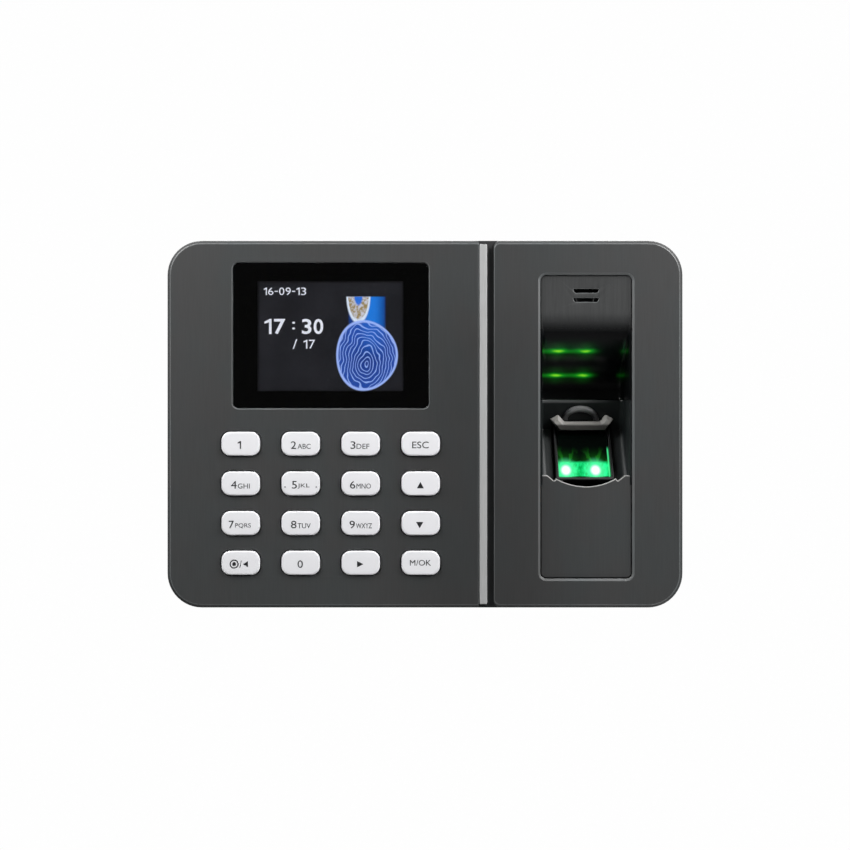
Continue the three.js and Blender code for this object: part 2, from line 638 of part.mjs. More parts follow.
function frontShell() {
  const shell = roundedSlab(housingOutline(0), PARTING, FRONT, FRONT_EDGE_R);
  const inside = slab(housingOutline(WALL), PARTING + BEYOND, FACE_BACK);
  const bossR = CASE_SCREW_R + GAP + BOSS_T;
  const bosses = caseScrews.map((at) => rodY(at, bossR, [FACE_BACK - FACE_T / 2, PARTING]));
  const pegs = stakes.map((at) => rodY(at, STAKE_R, [FACE_BACK - FACE_T / 2, KEY_BOARD_BACK + STAKE_PROUD]));
  const through = [FRONT - BEYOND, FACE_BACK + BEYOND];
  const keyHoles = KEY_NAMES.flatMap((names, row) =>
    names.map((_, column) => {
      const hole = grown(centred(keyX(column), keyZ(row), KEY_W, KEY_H), KEY_CLEARANCE);
      return slab(outline(hole, KEY_R + KEY_CLEARANCE), ...through);
    }),
  );
  const glassSeat = outline(grown(glass, GAP), GLASS_R + GAP, SMALL_CORNER_STEPS);
  const threads = [SCREW_SEAT - CASE_SCREW_L - BEYOND, PARTING + BEYOND];
  const cuts = [
    slab(glassSeat, FRONT - BEYOND, FRONT + GLASS_T + GAP),
    slab(outline(grown(screen, SCREEN_MARGIN), 0), ...through),
    slab(outline(well, WELL_R), ...through),
    slab(grooveOutline(), FRONT - BEYOND, FRONT + GROOVE_D, SMALL_CORNER_STEPS),
    ...keyHoles,
    ...caseScrews.map((at) => rodY(at, CASE_SCREW_R + GAP, threads)),
  ];
  return cut(joined([shell.subtract(inside), ...bosses, ...pegs]), cuts);
}

function trimStrip() {
  const rect = {
    x0: GROOVE_X0 + GAP,
    x1: GROOVE_X0 + GAP + STRIP_W,
    z0: BOTTOM + FRONT_EDGE_R,
    z1: TOP - FRONT_EDGE_R,
  };
  const shape = outline(rect, 2 * STRIP_PROUD, 1);
  return roundedSlab(shape, FRONT + GROOVE_D - GAP, FRONT - STRIP_PROUD, STRIP_PROUD);
}

// ---------------------------------------------------------------- display

function displayWindow() {
  return roundedSlab(outline(glass, GLASS_R, SMALL_CORNER_STEPS), FRONT + GLASS_T, FRONT, GAP);
}

const LCD_FRONT = FACE_BACK + GAP;
const LCD_BACK = LCD_FRONT + LCD_T;

function lcdFrame() {
  const outer = grown(lcd, GAP + LCD_FRAME_T);
  const tray = slab(outline(outer, LCD_FRAME_T, SMALL_CORNER_STEPS), LCD_BACK + GAP + LCD_FRAME_T, LCD_FRONT);
  const seat = slab(outline(grown(lcd, GAP)), LCD_BACK + GAP, LCD_FRONT - BEYOND);
  const tail = box(
    [lcdX() - RIBBON_W / 2 - BEYOND, lcdX() + RIBBON_W / 2 + BEYOND],
    [LCD_BACK, LCD_BACK + LCD_FRAME_T + BEYOND],
    [lcd.z0 + LCD_BORDER, lcd.z0 + 2 * LCD_BORDER],
  );
  return cut(tray, [seat, tail]);
}

function lcdX() {
  return (lcd.x0 + lcd.x1) / 2;
}

// ---------------------------------------------------------------- keys

// A key about its own middle: a cap with a rounded top, and a rim that stays behind the face.
function keyCap() {
  const rect = centred(0, 0, KEY_W, KEY_H);
  const cap = roundedSlab(outline(rect, KEY_R), KEY_BACK, FRONT - KEY_PROUD, KEY_EDGE_R);
  const rim = slab(outline(grown(rect, KEY_FLANGE), KEY_R + KEY_FLANGE), KEY_BACK, FACE_BACK + GAP);
  return cap.add(rim);
}

function keyMat() {
  const sheet = slab(outline(keyField, MAT_BORDER, SMALL_CORNER_STEPS), MAT_FRONT + MAT_T, MAT_FRONT);
  const reach = [DOME_TOP, MAT_FRONT + MAT_T / 2];
  const domes = KEY_NAMES.flatMap((names, row) =>
    names.map((_, column) => rodY([keyX(column), keyZ(row)], DOME_R, reach, ROUND_SIDES / 2)),
  );
  return cut(joined([sheet, ...domes]), stakeHoles(MAT_FRONT - BEYOND, MAT_FRONT + MAT_T + BEYOND));
}

function keyBoard() {
  const sheet = slab(outline(keyField), KEY_BOARD_BACK, KEY_BOARD_FRONT);
  return cut(sheet, stakeHoles(KEY_BOARD_FRONT - BEYOND, KEY_BOARD_BACK + BEYOND));
}

function stakeHoles(y0, y1) {
  return stakes.map((at) => rodY(at, STAKE_R + GAP, [y0, y1]));
}

// ---------------------------------------------------------------- finger well

// The glass's plane in the housing's y and z, moved back by some distance: y at a height z.
function slopeY(z, behind) {
  const y = SENSOR_Y + behind * Math.cos(SENSOR_TILT);
  const atZ = SENSOR_Z - behind * Math.sin(SENSOR_TILT);
  return y + (z - atZ) * Math.tan(SENSOR_TILT);
}

const SCOOP_BACK = FRONT + SCOOP_D;
const LEDGE_Z = well.z1 - LEDGE_FROM_TOP;
const GLASS_TOP_Z = SENSOR_Z + (PRISM_L / 2) * Math.cos(SENSOR_TILT);
const LINER_END = COVER_Z - COVER_NOTCH;

// The scoop seen from the side: it rolls in from the face, drops to the ledge, leans back to the
// glass's top and then comes forward behind the glass. The liner's outside is the same, moved outwards.
function scoopOutline(out, faceY, frontY) {
  const top = well.z1 - SCOOP_FROM_TOP + out;
  const back = SCOOP_BACK + out;
  const low = LINER_END - 2 * BEYOND;
  const behind = SENSOR_BEHIND + out;
  const turn = GLASS_TOP_Z - out / 2;
  const shape = new THREE.Shape();
  shape.moveTo(frontY, low);
  shape.lineTo(slopeY(low, behind), low);
  shape.lineTo(slopeY(turn, behind), turn);
  shape.lineTo(back, LEDGE_Z);
  shape.bezierCurveTo(back, LEDGE_Z + SCOOP_BULGE, faceY, top - SCOOP_BULGE, faceY, top);
  shape.lineTo(frontY, top);
  return shape;
}

function wellLiner() {
  const rimRect = { ...grown(well, -GAP), z0: COVER_Z + GAP };
  const flangeRect = { ...grown(well, WELL_FLANGE), z0: LINER_END + GAP };
  const rim = slab(outline(rimRect, WELL_R - GAP, SMALL_CORNER_STEPS), FLANGE_FRONT + BEYOND, WELL_FACE);
  const flange = slab(outline(flangeRect, WELL_R, SMALL_CORNER_STEPS), FLANGE_BACK, FLANGE_FRONT);
  const tub = sideSlab(scoopOutline(LINER_T, FLANGE_BACK, FLANGE_FRONT), flangeRect.x0, flangeRect.x1);
  const scoopX = [well.x0 + GAP + WELL_RIM, well.x1 - GAP - WELL_RIM];
  const scoop = sideSlab(scoopOutline(0, WELL_FACE, FRONT - BEYOND), ...scoopX);
  const port = box(
    [WELL_X - sensorHalfW() - GAP, WELL_X + sensorHalfW() + GAP],
    [FRONT, REAR_INSIDE],
    [LINER_END - BEYOND, SENSOR_Z + sensorHalfL() * Math.cos(SENSOR_TILT) + GAP],
  );
  const belowLiner = box([GROOVE_X1, RIGHT], [FRONT, REAR_INSIDE], [BOTTOM, LINER_END + GAP]);
  const belowRim = box([GROOVE_X1, RIGHT], [FRONT, FLANGE_FRONT], [BOTTOM, COVER_Z + GAP]);
  return cut(joined([rim, flange, tub]), [scoop, port, belowLiner, belowRim, ...speakerSlots()]);
}

function sensorHalfW() {
  return PRISM_W / 2 + GAP + SENSOR_WALL;
}

function sensorHalfL() {
  return PRISM_L / 2 + GAP + SENSOR_WALL;
}

function speakerSlots() {
  return Array.from({ length: SLOT_COUNT }, (_, i) => {
    const rect = centred(WELL_X, well.z1 - SLOT_FROM_TOP - i * SLOT_PITCH, SLOT_W, SLOT_H);
    return slab(outline(rect, SLOT_H / 2 - GAP, SMALL_CORNER_STEPS), FRONT, FLANGE_BACK + BEYOND);
  });
}

// The cover's top edge: level at the sides, a small notch each side, and a round dip for the finger.
function coverOutline() {
  const rect = grown(well, -GAP);
  const half = COVER_DIP_W / 2;
  const sag = COVER_DIP_D - COVER_NOTCH / 2;
  const r = (half * half + sag * sag) / (2 * sag);
  const spread = Math.asin(half / r);
  const rimZ = COVER_Z - COVER_NOTCH / 2;
  const notch = [COVER_NOTCH_X, COVER_Z - COVER_NOTCH];
  const corner = WELL_R - GAP;
  const shape = new THREE.Shape();
  shape.moveTo(rect.x0, COVER_Z);
  shape.absarc(rect.x0 + corner, rect.z0 + corner, corner, Math.PI, Math.PI * 1.5, false);
  shape.absarc(rect.x1 - corner, rect.z0 + corner, corner, -Math.PI / 2, 0, false);
  shape.lineTo(rect.x1, COVER_Z);
  shape.lineTo(WELL_X + notch[0] + COVER_NOTCH, COVER_Z);
  shape.lineTo(WELL_X + notch[0], notch[1]);
  shape.absarc(WELL_X, rimZ - sag + r, r, -Math.PI / 2 + spread, -Math.PI / 2 - spread, true);
  shape.lineTo(WELL_X - notch[0], notch[1]);
  shape.lineTo(WELL_X - notch[0] - COVER_NOTCH, COVER_Z);
  return shape;
}

function lowerCover() {
  const face = slab(coverOutline(), FLANGE_FRONT + GAP, WELL_FACE, SMALL_CORNER_STEPS);
  const flangeRect = { ...grown(well, WELL_FLANGE), z1: LINER_END };
  const flange = slab(outline(flangeRect, WELL_R, SMALL_CORNER_STEPS), FLANGE_BACK, FLANGE_FRONT);
  const inner = { ...grown(well, -GAP - WELL_FLANGE_T), z1: LINER_END + BEYOND };
  const pocket = slab(outline(inner), FLANGE_FRONT + GAP, FLANGE_BACK + BEYOND);
  const underLiner = box([LEFT, RIGHT], [FLANGE_FRONT - GAP, FLANGE_BACK + BEYOND], [LINER_END, TOP]);
  return cut(face.add(flange), [pocket, underLiner]);
}

// ---------------------------------------------------------------- sensor, about the middle of its glass

function prism() {
  const shape = new THREE.Shape([
    new THREE.Vector2(0, -PRISM_L / 2),
    new THREE.Vector2(PRISM_T, -PRISM_BACK_L / 2),
    new THREE.Vector2(PRISM_T, PRISM_BACK_L / 2),
    new THREE.Vector2(0, PRISM_L / 2),
  ]);
  return sideSlab(shape, -PRISM_W / 2, PRISM_W / 2);
}

const LED_BOARD_Y = PRISM_T + LED_BOARD_GAP;
const SENSOR_CAVITY = LED_BOARD_Y + LED_BOARD_T + GAP;

function sensorBody() {
  const outer = centred(0, 0, 2 * sensorHalfW(), 2 * sensorHalfL());
  const hollow = centred(0, 0, PRISM_W + 2 * GAP, PRISM_L + 2 * GAP);
  return cut(slab(outline(outer, SENSOR_WALL, SMALL_CORNER_STEPS), SENSOR_CAVITY + SENSOR_WALL, 0), [
    slab(outline(hollow), SENSOR_CAVITY, -BEYOND),
    rodY([0, 0], BARREL_R + GAP, [SENSOR_CAVITY - BEYOND, SENSOR_CAVITY + SENSOR_WALL + BEYOND]),
  ]);
}

function ledBoard() {
  const sheet = slab(outline(centred(0, 0, PRISM_W, PRISM_L)), LED_BOARD_Y + LED_BOARD_T, LED_BOARD_Y);
  return cut(sheet, [rodY([0, 0], PORT_R, [LED_BOARD_Y - BEYOND, LED_BOARD_Y + LED_BOARD_T + BEYOND])]);
}

function led() {
  const profile = LED_DOME.map(([out, up]) => new THREE.Vector2(LED_R * out, -LED_T * up));
  return solid(new THREE.LatheGeometry(profile, ROUND_SIDES / 2));
}

function lensBarrel() {
  const y0 = SENSOR_CAVITY + GAP;
  const bore = rodY([0, 0], LENS_R, [y0 - BEYOND, y0 + LENS_SUNK]);
  return cut(rodY([0, 0], BARREL_R, [y0, y0 + BARREL_L]), [bore]);
}

function cameraBoard() {
  const y0 = SENSOR_CAVITY + GAP + BARREL_L + GAP;
  return slab(outline(centred(0, 0, CAMERA_BOARD_W, CAMERA_BOARD_H)), y0 + CAMERA_BOARD_T, y0);
}

// The hood over the fingertip: a bar with a narrower foot and a round arch on top, about its foot's middle.
function sensorHood() {
  const arch = new THREE.Shape();
  const shoulder = HOOD_FOOT_H;
  arch.moveTo(-HOOD_FOOT_W / 2, 0);
  arch.lineTo(HOOD_FOOT_W / 2, 0);
  arch.lineTo(HOOD_W / 2, shoulder);
  arch.lineTo(HOOD_W / 2, shoulder + HOOD_BAR_H / 2);
  arch.lineTo(HOOD_ARCH_R, shoulder + HOOD_BAR_H / 2);
  const ends = [HOOD_ARCH_FROM, Math.PI - HOOD_ARCH_FROM];
  arch.absellipse(0, shoulder, HOOD_ARCH_R, HOOD_ARCH_H, ...ends, false, 0);
  arch.lineTo(-HOOD_W / 2, shoulder + HOOD_BAR_H / 2);
  arch.lineTo(-HOOD_W / 2, shoulder);
  return slab(arch, 0, -HOOD_T);
}

// ---------------------------------------------------------------- boards and connectors

function mainBoard() {
  const rect = { x0: BOARD_LEFT, x1: BOARD_RIGHT, z0: BOARD_BOTTOM, z1: BOARD_TOP };
  const through = [BOARD_FRONT - BEYOND, BOARD_Y + BEYOND];
  const holes = boardPosts.map((at) => rodY(at, BOARD_SCREW_R + GAP, through));
  return cut(slab(outline(rect), BOARD_Y, BOARD_FRONT), holes);
}

const JACK_Y = BOARD_Y + GAP; // board side of what stands on the board's wall side
const JACK_Z = BAY_TOP - JACK_PROUD; // mouths of the jacks

function chip(rect) {
  return slab(outline(rect), BOARD_FRONT - GAP, BOARD_FRONT - GAP - CHIP_T);
}

function ethernetJack() {
  const plugY = JACK_Y + (ETHERNET_T - PLUG_T) / 2 + LATCH_T / 2;
  return cut(
    box(
      [ETHERNET_X - ETHERNET_W / 2, ETHERNET_X + ETHERNET_W / 2],
      [JACK_Y, JACK_Y + ETHERNET_T],
      [JACK_Z, JACK_Z + ETHERNET_L],
    ),
    [
      box(
        [ETHERNET_X - PLUG_W / 2, ETHERNET_X + PLUG_W / 2],
        [plugY, plugY + PLUG_T],
        [JACK_Z - BEYOND, JACK_Z + PLUG_D],
      ),
      box(
        [ETHERNET_X - LATCH_W / 2, ETHERNET_X + LATCH_W / 2],
        [plugY - LATCH_T, plugY + BEYOND],
        [JACK_Z - BEYOND, JACK_Z + PLUG_D],
      ),
    ],
  );
}

function powerJack() {
  const middle = [POWER_X, JACK_Y + POWER_T / 2];
  const body = box(
    [POWER_X - POWER_W / 2, POWER_X + POWER_W / 2],
    [JACK_Y, JACK_Y + POWER_T],
    [JACK_Z, JACK_Z + POWER_L],
  );
  const hollow = rodZ(middle, POWER_HOLE_R, [JACK_Z - BEYOND, JACK_Z + POWER_HOLE_D]);
  const pin = rodZ(middle, POWER_PIN_R, [JACK_Z + BEYOND, JACK_Z + POWER_HOLE_D + BEYOND], ROUND_SIDES / 2);
  return body.subtract(hollow).add(pin);
}

function usbSocket() {
  const x0 = LEFT + USB_MOUTH_IN;
  const [y0, y1] = [JACK_Y, JACK_Y + USB_T];
  const [z0, z1] = [USB_Z - USB_W / 2, USB_Z + USB_W / 2];
  const shell = box([x0, x0 + USB_L], [y0, y1], [z0, z1]);
  const hollow = box(
    [x0 - BEYOND, x0 + USB_L - USB_TONGUE_T],
    [y0 + USB_SKIN, y1 - USB_SKIN],
    [z0 + USB_SKIN, z1 - USB_SKIN],
  );
  const tongue = box(
    [x0 + USB_L - USB_TONGUE_T - USB_TONGUE_L, x0 + USB_L - BEYOND],
    [y0 + 2 * USB_SKIN, y0 + 2 * USB_SKIN + USB_TONGUE_T],
    [z0 + 2 * USB_SKIN, z1 - 2 * USB_SKIN],
  );
  return shell.subtract(hollow).add(tongue);
}

function resetY() {
  return JACK_Y + SWITCH_W / 2;
}

const RESET_STOP = BAY_TOP + BAY_WALL + GAP + RESET_TRAVEL + 2 * GAP; // underside of the switch

function resetSwitch() {
  return box(
    [RESET_X - SWITCH_W / 2, RESET_X + SWITCH_W / 2],
    [JACK_Y, JACK_Y + SWITCH_W],
    [RESET_STOP, RESET_STOP + SWITCH_T],
  );
}

function resetButton() {
  return rodZ([RESET_X, resetY()], RESET_R, [BAY_TOP - RESET_PROUD, RESET_STOP - RESET_TRAVEL - GAP]);
}

function tamperSwitch() {
  const rect = centred(TAMPER_X, TAMPER_Z, SWITCH_W, SWITCH_W);
  return slab(outline(rect), JACK_Y + TAMPER_SWITCH_T, JACK_Y);
}

function tamperPlunger() {
  const inner = JACK_Y + TAMPER_SWITCH_T + GAP;
  const collarBack = REAR_INSIDE - GAP - TAMPER_TRAVEL;
  const rod = rodY([TAMPER_X, TAMPER_Z], TAMPER_R, [inner, -GAP]);
  return rod.add(rodY([TAMPER_X, TAMPER_Z], TAMPER_COLLAR_R, [collarBack - TAMPER_COLLAR_T, collarBack]));
}

function speaker() {
  const z = well.z1 - SLOT_FROM_TOP - SLOT_PITCH / 2;
  const y0 = FLANGE_BACK + GAP;
  const frame = slab(outline(centred(WELL_X, z, SPEAKER_W, SPEAKER_H), SPEAKER_R), y0 + SPEAKER_T, y0);
  const cone = rodY([WELL_X, z], SPEAKER_H / 2 - SPEAKER_RIM, [y0 - BEYOND, y0 + SPEAKER_RIM]);
  return cut(frame, [cone]);
}

// The points of a ribbon from one board's face to another's, which leaves each end by the given steps.
function bent([y0, z0], [y1, z1], outY, outZ) {
  const middle = [(y0 + y1) / 2, (z0 + z1) / 2];
  return [[y0, z0], [y0 + outY, z0 + outZ], middle, [y1 - outY, z1 - outZ], [y1, z1]];
}

// Ribbons in the y, z plane run between the boards' faces.
function lcdRibbon() {
  const start = [LCD_BACK + GAP + LCD_FRAME_T / 2, lcd.z0 + LCD_BORDER + LCD_BORDER / 2];
  const end = [BOARD_FRONT - GAP - RIBBON_T, start[1] + RIBBON_W];
  const points = bent(start, end, RIBBON_BEND, RIBBON_LEAD);
  return sideSlab(ribbonOutline(points), lcdX() - RIBBON_W / 2, lcdX() + RIBBON_W / 2);
}

function keyRibbon() {
  const start = [KEY_BOARD_BACK + GAP + RIBBON_T, keyZ(2)];
  const end = [BOARD_FRONT - GAP - RIBBON_T, keyZ(1)];
  const points = bent(start, end, RIBBON_LEAD, RIBBON_BEND);
  const x = (keyX(1) + keyX(2)) / 2;
  return sideSlab(ribbonOutline(points), x - RIBBON_W / 2, x + RIBBON_W / 2);
}

// Drawn in x and y, and as wide as it is tall in z.
function sensorRibbon() {
  const low = SENSOR_Z - 2 * SENSOR_CAVITY * Math.sin(SENSOR_TILT) - SENSOR_RIBBON_W;
  const start = [WELL_X - CAMERA_BOARD_W / 2 - GAP, BOARD_Y + GAP];
  const end = [BOARD_RIGHT + GAP, BOARD_Y - PCB_T / 2];
  const middle = [(start[0] + end[0]) / 2, start[1] + RIBBON_BEND];
  const geometry = new THREE.ExtrudeGeometry(ribbonOutline([end, middle, start]), {
    depth: SENSOR_RIBBON_W,
    bevelEnabled: false,
  });
  return solid(geometry.translate(0, 0, low));
}

// ---------------------------------------------------------------- the whole

const terminal = new THREE.Group();

const wallMount = new THREE.Group();
terminal.add(wallMount);
piece(wallMount, "wall_plate", wallPlate(), "steel");
const lockShape = screw(CASE_SCREW_R, LOCK_SCREW_L, CASE_HEAD_R, LOCK_HEAD_H);
const lock = piece(wallMount, "lock_screw", lockShape, "steel");
lock.rotation.x = -Math.PI / 2;
lock.position.set(0, -LOCK_SCREW_Y, FLANGE_TOP - GAP - PLATE_T - GAP);

const housing = new THREE.Group();
terminal.add(housing);
piece(housing, "front_shell", frontShell(), "body");
piece(housing, "rear_shell", rearShell(), "rear");
piece(housing, "trim_strip", trimStrip(), "silver");
piece(housing, "display_window", displayWindow(), "window");
piece(housing, "lcd_panel", slab(outline(lcd), LCD_BACK, LCD_FRONT), "screen");
piece(housing, "lcd_frame", lcdFrame(), "black");
piece(housing, "keypad_mat", keyMat(), "rubber");
piece(housing, "keypad_board", keyBoard(), "board");
caseScrews.forEach(([x, z], i) => {
  const shape = screw(CASE_SCREW_R, CASE_SCREW_L, CASE_HEAD_R, CASE_HEAD_H);
  piece(housing, `case_screw_${i + 1}`, shape, "steel").position.set(x, SCREW_SEAT + GAP, z);
});

const keypad = new THREE.Group();
housing.add(keypad);
KEY_NAMES.forEach((names, row) =>
  names.forEach((name, column) => {
    piece(keypad, name, keyCap(), "key").position.set(keyX(column), 0, keyZ(row));
  }),
);

const fingerWell = new THREE.Group();
housing.add(fingerWell);
piece(fingerWell, "well_liner", wellLiner(), "gloss");
piece(fingerWell, "lower_cover", lowerCover(), "body");
piece(fingerWell, "speaker", speaker(), "black");
piece(fingerWell, "sensor_hood", sensorHood(), "gloss").position.set(
  WELL_X,
  SCOOP_BACK - GAP,
  well.z1 - HOOD_FROM_TOP,
);

const sensor = new THREE.Group();
fingerWell.add(sensor);
sensor.position.set(WELL_X, SENSOR_Y, SENSOR_Z);
sensor.rotation.x = -SENSOR_TILT;
piece(sensor, "sensor_body", sensorBody(), "black");
piece(sensor, "sensor_prism", prism(), "glass");
piece(sensor, "led_board", ledBoard(), "board");
[["green_led_left", -LED_SPREAD], ["green_led_right", LED_SPREAD]].forEach(([name, x]) => {
  piece(sensor, name, led(), "lamp").position.set(x, LED_BOARD_Y - GAP, LED_Z);
});
piece(sensor, "lens_barrel", lensBarrel(), "black");
piece(sensor, "camera_board", cameraBoard(), "board");

const electronics = new THREE.Group();
housing.add(electronics);
piece(electronics, "main_board", mainBoard(), "board");
piece(electronics, "processor", chip(centred(...CHIP_AT, CHIP_W, CHIP_W)), "black");
piece(
  electronics,
  "memory_chip",
  chip(centred(BOARD_LEFT + MEMORY_IN, MEMORY_Z, MEMORY_W, MEMORY_H)),
  "black",
);
piece(electronics, "clock_battery", rodY(CELL_AT, CELL_R, [JACK_Y, JACK_Y + CELL_T]), "steel");
piece(electronics, "ethernet_jack", ethernetJack(), "steel");
piece(electronics, "power_jack", powerJack(), "black");
piece(electronics, "usb_socket", usbSocket(), "steel");
piece(electronics, "reset_switch", resetSwitch(), "black");
piece(electronics, "reset_button", resetButton(), "key");
piece(electronics, "tamper_switch", tamperSwitch(), "black");
piece(electronics, "tamper_plunger", tamperPlunger(), "key");
boardPosts.slice(1, -1).forEach(([x, z], i) => {
  const shape = screw(BOARD_SCREW_R, BOARD_SCREW_L, BOARD_HEAD_R, BOARD_HEAD_H);
  const mesh = piece(electronics, `board_screw_${i + 1}`, shape, "steel");
  mesh.rotation.x = Math.PI;
  mesh.position.set(x, BOARD_FRONT - GAP, z);
});
piece(electronics, "lcd_ribbon", lcdRibbon(), "ribbon");
piece(electronics, "keypad_ribbon", keyRibbon(), "ribbon");
piece(electronics, "sensor_ribbon", sensorRibbon(), "ribbon");

export default terminal;
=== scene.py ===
"""Looks of a wall-mounted fingerprint terminal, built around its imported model.

Sizes are in millimetres and become metres where vertices are made. +Z is up, the front faces -Y
and the wall is the plane y = 0. Each sub-assembly is a class that holds its sizes, builds its
meshes and dresses them.
"""

from __future__ import annotations

import logging
import math
import sys
from collections.abc import Callable, Iterable, Sequence
from dataclasses import dataclass, field
from enum import Enum

import bmesh
import bpy
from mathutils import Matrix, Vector
from mathutils.geometry import tessellate_polygon

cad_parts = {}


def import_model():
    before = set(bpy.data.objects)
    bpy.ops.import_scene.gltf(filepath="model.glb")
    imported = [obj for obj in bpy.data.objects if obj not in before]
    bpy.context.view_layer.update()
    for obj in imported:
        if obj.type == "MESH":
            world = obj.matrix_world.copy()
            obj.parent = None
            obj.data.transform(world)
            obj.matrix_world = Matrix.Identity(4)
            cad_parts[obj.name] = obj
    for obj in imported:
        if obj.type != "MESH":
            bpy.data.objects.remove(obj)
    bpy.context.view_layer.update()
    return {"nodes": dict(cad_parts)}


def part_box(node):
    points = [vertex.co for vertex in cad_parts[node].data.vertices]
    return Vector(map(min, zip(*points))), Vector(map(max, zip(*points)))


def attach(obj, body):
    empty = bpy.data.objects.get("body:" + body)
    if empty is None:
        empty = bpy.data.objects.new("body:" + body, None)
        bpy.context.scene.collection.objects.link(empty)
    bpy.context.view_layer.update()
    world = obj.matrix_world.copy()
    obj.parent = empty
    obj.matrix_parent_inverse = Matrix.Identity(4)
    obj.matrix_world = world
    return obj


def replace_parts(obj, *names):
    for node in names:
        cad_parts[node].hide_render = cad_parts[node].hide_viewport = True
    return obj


log = logging.getLogger("terminal")

MM = 0.001
MERGE = 1e-6
Point = tuple[float, float]
Place = tuple[float, float, float]
Colour = tuple[float, float, float]
Loop = list[bmesh.types.BMVert]

SPLIT = (0.35, 0.65)  # values of noise between which one tint gives way to another
WIDE_SPLIT = (0.3, 0.7)
UPRIGHT = (1.0, 1.0, 0.03)  # stretch that turns noise into upright lines
BLACK = (0.0, 0.0, 0.0)


# ---------------------------------------------------------------- shader sockets and nodes


class Signal:
    """A shader socket that takes part in Python arithmetic."""

    def __init__(self, graph: Graph, socket: bpy.types.NodeSocket) -> None:
        """Wraps one output socket of a graph.

        Args:
            graph: the material's graph that the socket is in.
            socket: the output socket.
        """
        self.graph = graph
        self.socket = socket

    def maths(self, operation: str, first: Value, second: Value = 0.0) -> Signal:
        """Adds a Math node.

        Args:
            operation: the node's operation.
            first: its first value.
            second: its second value.

        Returns:
            The node's result.
        """
        return self.graph.node("ShaderNodeMath", {"operation": operation}, {0: first, 1: second})

    def __add__(self, other: Value) -> Signal:
        """self + other."""
        return self.maths("ADD", self, other)

    def __radd__(self, other: Value) -> Signal:
        """other + self."""
        return self.maths("ADD", other, self)

    def __sub__(self, other: Value) -> Signal:
        """self - other."""
        return self.maths("SUBTRACT", self, other)

    def __rsub__(self, other: Value) -> Signal:
        """other - self."""
        return self.maths("SUBTRACT", other, self)

    def __mul__(self, other: Value) -> Signal:
        """self * other."""
        return self.maths("MULTIPLY", self, other)

    def __rmul__(self, other: Value) -> Signal:
        """other * self."""
        return self.maths("MULTIPLY", other, self)

    def __truediv__(self, other: Value) -> Signal:
        """self / other."""
        return self.maths("DIVIDE", self, other)

    def __rtruediv__(self, other: Value) -> Signal:
        """other / self."""
        return self.maths("DIVIDE", other, self)

    def __pow__(self, other: Value) -> Signal:
        """self ** other."""
        return self.maths("POWER", self, other)

    def __rpow__(self, other: Value) -> Signal:
        """other ** self."""
        return self.maths("POWER", other, self)

    def most(self, other: Value) -> Signal:
        """The larger of this and another value."""
        return self.maths("MAXIMUM", self, other)

    def size(self) -> Signal:
        """The value without its sign."""
        return self.maths("ABSOLUTE", self)

    def step(self, low: float, high: float) -> Signal:
        """A smooth step.

        Args:
            low: where the result is 0.
            high: where the result is 1; it may be lower than low.

        Returns:
            A value from 0 to 1.
        """
        settings = {"interpolation_type": "SMOOTHSTEP"}
        if high < low:
            return 1.0 - self.step(high, low)
        sockets = {"Value": self, "From Min": low, "From Max": high, "To Min": 0.0, "To Max": 1.0}
        return self.graph.node("ShaderNodeMapRange", settings, sockets)


Value = float | int | tuple | Signal


